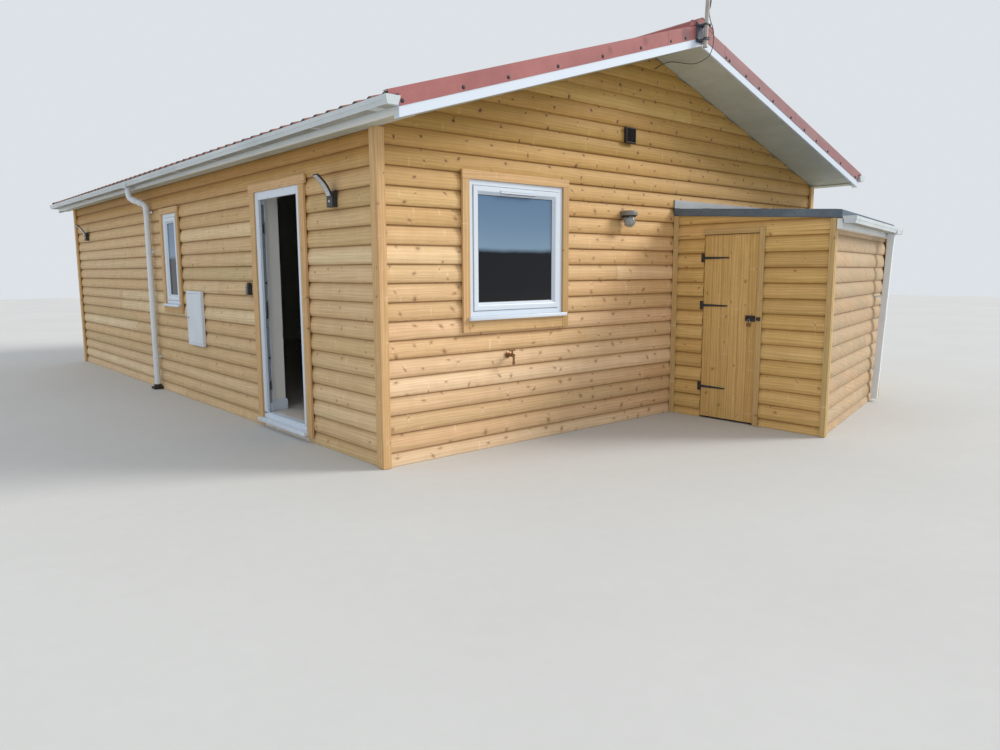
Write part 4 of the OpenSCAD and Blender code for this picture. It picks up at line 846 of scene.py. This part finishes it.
def rounded(points, radius, steps=6):
    """A path with its corners turned into arcs."""
    pts = [Vector(q) for q in points]
    made = [pts[0]]
    for a, b, c in zip(pts, pts[1:], pts[2:]):
        u, v = (a - b).normalized(), (c - b).normalized()
        for k in range(steps + 1):
            t = k / steps
            made.append((b + u * radius) * (1 - t) ** 2 + b * 2 * t * (1 - t) + (b + v * radius) * t ** 2)
    return made + [pts[-1]]


def lean(z):
    """How far the store's square pipe stands off the wall: it leans back on its way down."""
    return 112 - 68.5 * (STORE_GUTTER_Z - z) / (STORE_GUTTER_Z - 30)


PIPE_R = 34
COLLAR = [(0, 34.5), (0, 37.8), (3, 38.4), (42, 38.4), (45, 37.8), (45, 34.5)]
shape, shoes = Shape(), Shape()
for side in (-1, 1):
    top, knee = Vector((side * 3291, OUTLET_Y, 2345)), Vector((side * 3140, 635, 2262))
    low, foot = (knee.x, knee.y, 2000), (knee.x, knee.y, 50)
    shape.tube(rounded([(top.x, top.y, GUTTER_Z), top, knee, low], 55), PIPE_R, 28)
    shape.tube([low, foot], PIPE_R, 28)
    slope = (knee - top).normalized()
    for centre, axis, length in (((top.x, top.y, 2452), UP, 0.8), (top + slope * 52, slope, 1),
                                 (knee - slope * 100, slope, 1), ((knee.x, knee.y, 2200), UP, 0.75)):
        shape.turned(centre, axis, [(h * length, r) for h, r in COLLAR], 28)
    for z in (400, 1690, 2165):
        shape.turned((knee.x, knee.y, z), UP, [(0, 34.5), (0, 38.5), (20, 38.5), (20, 34.5)], 28)
        shape.box(side * 3090.5, side * 3112, 597, 673, z, z + 20)
        shape.box(side * 3090.5, side * 3096, 579, 691, z - 6, z + 26)
    shoes.box(side * 3092, side * 3200, 570, 700, 4, 30)
    shoes.turned((knee.x, knee.y, 30), UP, [(0, 44), (20, 44), (30, 40.5), (30, 34.5)], 28)
u = FRONT_L - 466
for z0, z1, h in ((30, STORE_GUTTER_Z, 31), (1710, 1830, 34), (900, 960, 34), (350, 370, 34.5), (1150, 1170, 34.5)):
    shape.sweep([(-h, -h), (h, -h), (h, h), (-h, h)], lambda a, b, s: store_out(u + a, s, lean(s) + b), z0, z1)
for z in (350, 1150):
    shape.slab(store_out, u - 36, u + 36, z, z + 20, 0.5, lean(z) - 20)
make("rain_pipes", shape, pipe_white, "white_plastic", "downpipes", bevel=1.2, angle=40)
make("pipe_shoes", shoes, black_plastic, "black_plastic", bevel=2)

# ---------------------------------------------------------------- main door
shape = Shape()
y0, y1, _, head = DOOR
for x0, x1, width in ((-3095, -3070, 70), (-3070, -3025, 50)):
    shape.box(x0, x1, y0, y0 + width, 140, head)
    shape.box(x0, x1, y1, y1 - width, 140, head)
    shape.box(x0, x1, y0 + width, y1 - width, head - width, head)
shape.box(-3095, -3025, y0, y1, 90, 128)
for x in (-3092, -3070, -3046):
    shape.box(x, x + 14, y0 + 50.5, y1 - 50.5, 128, 140)
for y in (-3386, -2545):
    shape.box(-3098, -3095, y, y + 51, 150, 2150)
make("entrance_frame", shape, upvc, "white_plastic", "door_frame", bevel=2)
shape, rubber = Shape(), Shape()
shape.box(-3060, -3036, -2542.8, -2540.2, 220, 2060)
for z, h in ((330, 120), (620, 60), (1000, 200), (1320, 60), (1780, 120)):
    shape.box(-3064, -3032, -2545.2, -2540.2, z, z + h)
    rubber.box(-3055, -3041, -2545.6, -2544.8, z + 20, z + h - 20)
for foot in (z + dz for z in (330, 1130, 1900) for dz in (-60.3, 20.3)):
    shape.turned((-2995, -3343, foot), UP, [(0, 7.5), (1.5, 9), (38.5, 9), (40, 7.5)], 24)
    shape.box(-3024.9, -2995, -3352, -3343, foot, foot + 40)
make("lock_keeps", shape, steel, "handle_metal", bevel=0.6)
rubber.box(-3071.5, -3069.5, -2560.5, -2548, 141, 2116)
for y0, y1, z0, z1 in ((-2548.5, -2541.5, 141, 2112), (-3338.5, -3331.5, 141, 2112), (-3338, -2542, 2107.5, 2114.5)):
    rubber.box(-3069.5, -3066.5, y0, y1, z0, z1)
make("door_gaskets", rubber, gasket, "black_plastic")
carry("door_sill", upvc, 4)
carry("door_leaf", upvc, 2.5)
carry("door_handles", steel, 3)
carry("floor", floor_wood)

# ---------------------------------------------------------------- windows
OUTER_FRAME = [(0, -65), (0, 3.5), (1.5, 5), (39, 5), (41, 3), (41, -20), (45, -20), (45, -65)]
SASH = [(44.6, -60), (44.6, 10.5), (47, 13), (80, 13), (84, 11.5), (91, 3.5), (106.5, -10.5), (109.5, -12.5),
        (109.5, -60)]
SEAL = [(108, -20.5), (108, -11.5), (112.5, -13.5), (114.5, -20.5)]
SILL_H = 30
shape, rubber = Shape(), Shape()
for place, u0, u1, z0, z1, *_ in WINDOWS:
    for target, section in ((shape, OUTER_FRAME), (shape, SASH), (rubber, SEAL)):
        target.ring(place, u0, u1, z0 + SILL_H, z1, section)
# trickle vents
for place in (front, back):
    shape.slab(place, -1960, -1574, 2066.5, 2087.5, 12.5, 19.5)
    shape.slab(place, -1960, -1574, 2082.5, 2088, 12.5, 23)
    rubber.slab(place, -1956, -1578, 2062.5, 2066.8, 12, 18.5)
make("window_casements", shape, upvc, "white_plastic", "window_frames", bevel=0.8, angle=30)
make("window_seals", rubber, gasket, "black_plastic")
carry("window_glass", window_glass)
carry("window_sills", upvc, 5)

# ---------------------------------------------------------------- fittings on the walls
shape = Shape()
my0, my1, mz0, mz1 = -1019, -569, 645, 1245
shape.ring(left, my0, my1, mz0, mz1, [(0, 0), (0, 32), (4, 37), (10, 39), (24, 39), (27, 34), (27, 0)])
for inset, d0, d1 in ((27, 1, 32.5), (30.5, 32.5, 38.5)):
    shape.slab(left, my0 + inset, my1 - inset, mz0 + inset, mz1 - inset, d0, d1)
for z in (mz0 + 100, mz1 - 160):
    shape.slab(left, my0 + 20, my0 + 34, z, z + 60, 30, 39.8)
make("meter_cabinet", shape, meter_white, "white_plastic", "meter_box", bevel=2)
shape = Shape()
shape.turned((-3128.5, -620, 950), WEST, [(0, 11), (1, 11), (1.5, 8)], 20)
make("meter_lock", shape, black_plastic, "black_plastic")

shape, grey = Shape(), Shape()
shape.slab(left, -2322, -2258, 1235, 1335, 0, 36)
shape.slab(left, -2312, -2268, 1335, 1352, 0, 30)
shape.slab(left, -2317, -2263, 1240, 1330, 36, 43)
for row in range(5):
    for y in (-2300.5, -2279.5):
        grey.turned((-3133, y, 1252 + row * 15.5), WEST, [(0, 5.2), (1.4, 5.2), (1.9, 4.2)], 12)
grey.slab(left, -2302, -2278, 1320, 1327, 42.5, 44.8)
make("key_box", shape, black_metal, "black_metal", "key_safe", bevel=4)
make("key_box_buttons", grey, steel, "handle_metal")


def beside(path, by):
    """The points of a flat path, each moved square to it."""
    made = []
    for i, (a, b) in enumerate(path):
        (a0, b0), (a1, b1) = path[max(i - 1, 0)], path[min(i + 1, len(path) - 1)]
        length = math.hypot(a1 - a0, b1 - b0)
        made.append((a + (b1 - b0) / length * by, b + (a0 - a1) / length * by))
    return made


# The wall lamps' arm as (out, height), under which the light strip lies
LAMP_Z = 2025
ARM = [(d, LAMP_Z + h) for d, h in ((36, -30), (44, 2), (56, 34), (74.5, 66), (98, 97.5), (127, 126.5),
                                    (157.5, 151.5))]
BLOCK = [(0, 1940), (41, 1940), (45, 1944), (45, 2014), (30, 2060), (24, 2065), (0, 2065)]
shape, strips = Shape(), Shape()
for y in (-3968, 3860):
    put = lambda a, b, s: left(y + s, b, a)
    shape.sweep(BLOCK, put, -46, 46)
    arm = beside(ARM, 6.5) + beside(ARM, -6.5)[::-1]
    shape.sweep(arm, put, -40, 40, caps=False)
    last = len(arm) - 1
    for s in (-40, 40):
        for i in range(len(ARM) - 1):
            shape.face([put(*arm[k], s) for k in (i, i + 1, last - i - 1, last - i)])
    glow = beside(ARM, 7.8)
    strips.part += 1
    for (d0, h0), (d1, h1) in zip(glow[1:], glow[2:]):
        h1 = LAMP_Z + (h1 - LAMP_Z) * 0.99
        for s in (-32, -16, 0, 16):
            strips.face([put(d0, h0, s), put(d0, h0, s + 16), put(d1, h1, s + 16), put(d1, h1, s)])
    strips.turned(left(y, 1985, 44.5), (-1, 0, -0.25), [(0, 10.5), (4, 9.8), (7, 7.2), (9, 4), (9.5, 0)], 20)
make("wall_lamps", shape, black_metal, "black_metal", "wall_lights", bevel=2)
make("wall_lamp_faces", strips, led_panel, "lamp_metal", angle=60)

shape = Shape()
shape.ring(front, -445, -305, 2617, 2757, [(0, 0), (0, 24), (3, 29), (8, 30), (12.5, 27), (12.5, 0)])
for i in range(6):
    z = 2632 + i * 19.5
    shape.sweep([(z, 6), (z + 16, 24), (z + 18, 24), (z + 3, 6)], lambda a, b, s: front(s, a, b), -434, -316)
shape.slab(front, -434, -316, 2628, 2746, 0, 5)
make("louvre_vent", shape, black_plastic, "black_plastic", "gable_vent", bevel=1)

shape, globe, dark, bulb = Shape(), Shape(), Shape(), Shape()
lx, ly, lz = -436, -4675, 1955
HOOD = [(4, 62), (0, 66), (0, 73.5), (3, 74.9), (30, 74.9), (36, 73.5), (41, 68), (44, 57), (45.7, 32), (46, 0)]
shape.turned((lx, ly, lz), UP, HOOD, 56)
shape.slab(front, lx - 28, lx + 28, lz + 8, lz + 40, 8, 70)
shape.slab(front, lx - 40, lx + 40, lz - 20, lz + 46, 0, 8)
make("lamp_hood", shape, lamp_grey, "lamp_metal", "bulkhead_lamp", bevel=1, angle=50)
dark.turned((lx, ly, lz - 11), UP, [(0, 0), (0, 61), (14, 63)], 48)
make("lamp_seal", dark, black_plastic, "black_plastic", angle=40)
# a ribbed glass bowl, with an inner face
for scale in (1.0, 0.95):
    bowl = []
    for k in range(25):
        a, r = math.radians(37 + 143 * k / 24), (58.8 - (1.1 if k % 2 else 0)) * scale
        bowl.append((math.cos(a) * r, math.sin(a) * r))
    globe.turned((lx, ly, lz - 50), UP, bowl, 48)
make("lamp_globe", globe, clear_glass, "lamp_metal", angle=60)
bulb.turned((lx, ly, lz - 4), (0, 0, -1), [(0, 16), (20, 16), (24, 18), (50, 26), (68, 20), (78, 0)], 24)
make("lamp_bulb", bulb, led_panel, "lamp_metal", angle=60)

shape = Shape()
tx, tz = -1880, 760
for centre, axis, profile, sides in (
        ((tx, -4600, tz), SOUTH, [(0, 27), (4, 27), (7, 22), (9, 14.5)], 28),
        ((tx, -4608, tz), SOUTH, [(0, 12.5), (16, 12.5), (17, 14.5), (30, 14.5), (31, 12.5), (50, 12.5), (60, 15.5),
                                  (72, 15.5), (80, 10), (81, 0)], 28),
        ((tx, -4679, tz - 75), UP, [(0, 8.5), (0, 11.2), (13, 11.2), (14, 9.8), (16, 11.2), (20, 11.2), (21, 9)], 24),
        ((tx, -4660, tz), UP, [(0, 10.5), (16, 10.5), (18, 8.5), (34, 7.5), (36, 9), (38.5, 9)], 20),
        *(((tx + dx, -4660, tz + 36), UP, [(0, 6), (1, 7), (9, 7), (10, 6)], 16) for dx in (-25, 25))):
    shape.turned(centre, axis, profile, sides)
shape.tube(rounded([(tx, -4665, tz), (tx, -4678, tz - 4), (tx, -4679, tz - 30), (tx, -4679, tz - 62)], 8), 9.5, 20)
shape.box(tx - 31, tx + 31, -4666, -4654, tz + 37.5, tz + 44.5)
make("bib_tap", shape, brass, "tap_brass", "outside_tap", angle=40)

# ---------------------------------------------------------------- mast and cable
carry("mast", cream, 1, 60)
carry("mast_bracket", galvanised, 1.5)
MAST_LEAN = math.radians(3)
shape = Shape()
for z in (3477, 3594):
    for x in (-83, -3):
        shape.turned((x, -5111, z), SOUTH, [(0, 9), (2, 9), (2, 6.5), (8, 6.5), (12, 3)], 6)
for z, knob in ((3488, 33), (3600, 44)):
    x = -37 + (z - 3414.35) * math.tan(MAST_LEAN)
    shape.turned((x + knob, -5166, z - 6), UP, [(0, 5), (4, 13.5), (17, 13.5), (21, 7)], 12)
    shape.turned((x + 34, -5172, z), (1, -0.4, 0), [(0, 7), (6, 7), (7, 3.5), (12, 3.5)], 10)
    shape.turned((x, -5165, z - 6), (math.sin(MAST_LEAN), 0, math.cos(MAST_LEAN)),
                 [(0, 19.2), (0, 21.2), (7, 21.2), (7, 19.2)], 32)
make("mast_bolts", shape, black_metal, "galvanised_steel", angle=40)

ROUTE = [(29, -5165, 4100), (16, -5165, 3900), (9, -5165, 3760), (12, -5165, 3690), (36, -5165, 3636),
         (62, -5165, 3604), (82, -5165, 3560), (91, -5164, 3505), (90, -5160, 3450), (88, -5148, 3405),
         (97, -5125, 3378), (112, -5090, 3362), (122, -5040, 3351), (138, -4985, 3346), (150, -4930, 3346),
         (155, -4870, 3357), (140, -4820, 3369), (112, -4780, 3380), (92, -4735, 3390), (79, -4700, 3395),
         (68, -4660, 3393), (60, -4625, 3386), (44, -4610, 3372), (15, -4605, 3352), (-12, -4604, 3338),
         (-26, -4600.3, 3332)]


def smooth(points, steps=4):
    """A curve through the points."""
    pts = [Vector(q) for q in points]
    pts = [pts[0] * 2 - pts[1]] + pts + [pts[-1] * 2 - pts[-2]]
    made = []
    for a, b, c, d in zip(pts, pts[1:], pts[2:], pts[3:]):
        for t in (k / steps for k in range(steps)):
            made.append(0.5 * (2 * b + (c - a) * t + (2 * a - 5 * b + 4 * c - d) * t * t
                               + (3 * b - a - 3 * c + d) * t ** 3))
    return made + [pts[-2]]


shape = Shape()
shape.tube(smooth(ROUTE), 3.4, 10)
shape.tube([(31, -5172, 4100), (30.5, -5173, 3970), (25, -5173, 3850), (12.5, -5169, 3752)], 6.2, 12)
shape.turned((9, -5165, 3735), (0.05, 0, 1), [(0, 3.6), (3, 7.8), (20, 7.8), (24, 6.2)], 14)
make("aerial_lead", shape, sheath, "cable_sheath", "aerial_cable", angle=60)

# ---------------------------------------------------------------- store: roof, door and irons
RX0, RX1 = 336, 3038


def eaves_y(x, out):
    return STORE_Y0 + (x - STORE_X0) * math.tan(SKEW) - out / COS


def on_roof(x, y, lift):
    return (x, y, store_under(x, y) + lift)


shape = Shape()
outline = [(RX0, -HALF_L), (RX0, -6245.4), (RX0, eaves_y(RX0, 64.8)), (RX1, eaves_y(RX1, 64.8)), (RX1, -HALF_L),
           (STORE_X1, -HALF_L)]
# the two slopes meet in the line from the second point to the last
for plan in ([*outline[:2], outline[5]], [outline[5], *outline[1:5]]):
    shape.face([on_roof(*q, 72) for q in plan])
    shape.face([on_roof(*q, 0.2) for q in plan[::-1]])
for q, r in zip(outline, outline[1:] + outline[:1]):
    shape.face([on_roof(*q, 0.2), on_roof(*r, 0.2), on_roof(*r, 72), on_roof(*q, 72)])
make("felt_roof", shape, felt, "roof_felt", "store_roof", bevel=8, angle=40)
shape = Shape()
xs = [RX0 + 6 + (RX1 - RX0 - 12) * i / 40 for i in range(41)]
for k in (620, 1220):
    shape.part += 1
    shape.sheet([[on_roof(x, min(eaves_y(x, 0) + k + dy, -4680), lift) for x in xs]
                 for dy, lift in ((0, 72.2), (3, 74.5), (90, 72.4))], tone=lambda r, k: 0.7)
make("felt_laps", shape, felt, "roof_felt")
UPSTAND = [(-4600.5, 72.5), (-4672, 72.5), (-4672, 74.5), (-4618, 76.5), (-4613, 81), (-4612.5, 149), (-4609, 156),
           (-4600.5, 157)]
shape = Shape()
shape.sweep(UPSTAND, lambda a, b, s: (s, a, STORE_TOP + (a + HALF_L) * STORE_FALL + b), RX0 + 1, RX1 - 1)
make("felt_upstand", shape, flashing_grey, "roof_felt", bevel=1)
shape = Shape()
for x, sx, count in ((RX0, -1, 13), (RX1, 1, 8)):
    for k in range(count):
        shape.turned(on_roof(x, -4680 - k * 120, 36), (sx, 0, 0), [(0, 4.5), (0.6, 4.5), (0.8, 3)], 8)
make("felt_nails", shape, galvanised, "galvanised_steel")

shape = Shape()
PLANK_W = 583 / 6
for i in range(6):
    a = -5544 + i * PLANK_W + 0.6
    b = a + PLANK_W - 1.2
    half = [(0, 381), (0, 365.5), (5, 361.2), (20, 361)]
    shape.sweep([(a + h, x) for h, x in half] + [(b - h, x) for h, x in half[::-1]],
                lambda p, q, s: (q, p, s), 18, 1784, Z, rng.random())
for z in LEDGES:
    half = [(50, 381), (50, 397), (44, 403)]
    shape.sweep([(z + h, x) for h, x in half] + [(z - h, x) for h, x in half[::-1]],
                lambda p, q, s: (q, s, p), -5534, -4971, Y, rng.random())
make("store_door_boards", shape, [plank[1], *plank], "timber_boards", "store_door",
     body="store_leaf", bevel=1, angle=28)
carry("store_door_ironwork", black_metal, 1)
carry("store_hinge_plates", black_metal, 1)
HEAD = [(0, 4.8), (0.8, 4.6), (2, 3.2), (2.6, 0)]
shape, fixed = Shape(), Shape()
for z in LEDGES:
    for d, dz in ((50, -2.2), (110, 2.2), (180, -2.2), (250, 2.2)):
        shape.turned((355.1, -4958 - d, z + dz), WEST, HEAD, 12)
    for dz in (-34, 34):
        fixed.turned((355.1, -4936.5, z + dz), WEST, HEAD, 12)
for y in (-5520, -5450):
    for dz in (-20, 20):
        shape.turned((356.1, y, BOLT_Z + dz), WEST, HEAD, 12)
    shape.turned((357.5, y + 5, BOLT_Z), (0, 1, 0), [(0, 7.5), (0, 9.8), (12, 9.8), (12, 7.5)], 20)
fixed.box(328, 339.2, -5594, -5557, 986, 1020)
make("hinge_screws", shape, black_metal, "black_metal", body="store_leaf")
make("plate_screws", fixed, black_metal, "black_metal")
shape = Shape()
arc = [(338, -5474.5 - 14 * math.cos(t), 985 + 12 * math.sin(t)) for t in (math.pi * k / 8 for k in range(9))]
shape.tube([(338, -5488.5, 962), *arc, (338, -5460.5, 962)], 2.6, 12)
make("padlock_shackle", shape, steel, "handle_metal", body="store_leaf", angle=60)
shape = Shape()
shape.box(331, 345, -5494, -5455, 930, 964)
make("padlock_body", shape, brass, "tap_brass", body="store_leaf", bevel=3)

# ---------------------------------------------------------------- floor and light
mesh = bpy.data.meshes.new("ground")
mesh.from_pydata([(-40, -40, 0), (40, -40, 0), (40, 40, 0), (-40, 40, 0)], [], [(0, 1, 2, 3)])
ground = bpy.data.objects.new("ground", mesh)
mesh.materials.append(finish("studio_floor", (0.62, 0.62, 0.61), (0.59, 0.59, 0.58), 0.8, 0.05, 0.4, 8, 0.02))
scene.collection.objects.link(ground)
ground.location.z = -0.002

world = scene.world or bpy.data.worlds.new("studio")
scene.world = world
world.use_nodes = True
sky = world.node_tree.nodes["Background"]
sky.inputs["Color"].default_value = (0.90, 0.95, 1.0, 1)
sky.inputs["Strength"].default_value = 0.80
sun = bpy.data.lights.new("soft_key", "SUN")
sun.energy, sun.angle, sun.color = 2.3, math.radians(22), (1.0, 0.96, 0.895)
key = bpy.data.objects.new("soft_key", sun)
key.rotation_euler = Vector((-0.70, 0.47, -0.54)).to_track_quat("-Z", "Y").to_euler()
scene.collection.objects.link(key)
scene.view_settings.view_transform = "Standard"
scene.view_settings.exposure = 0.0
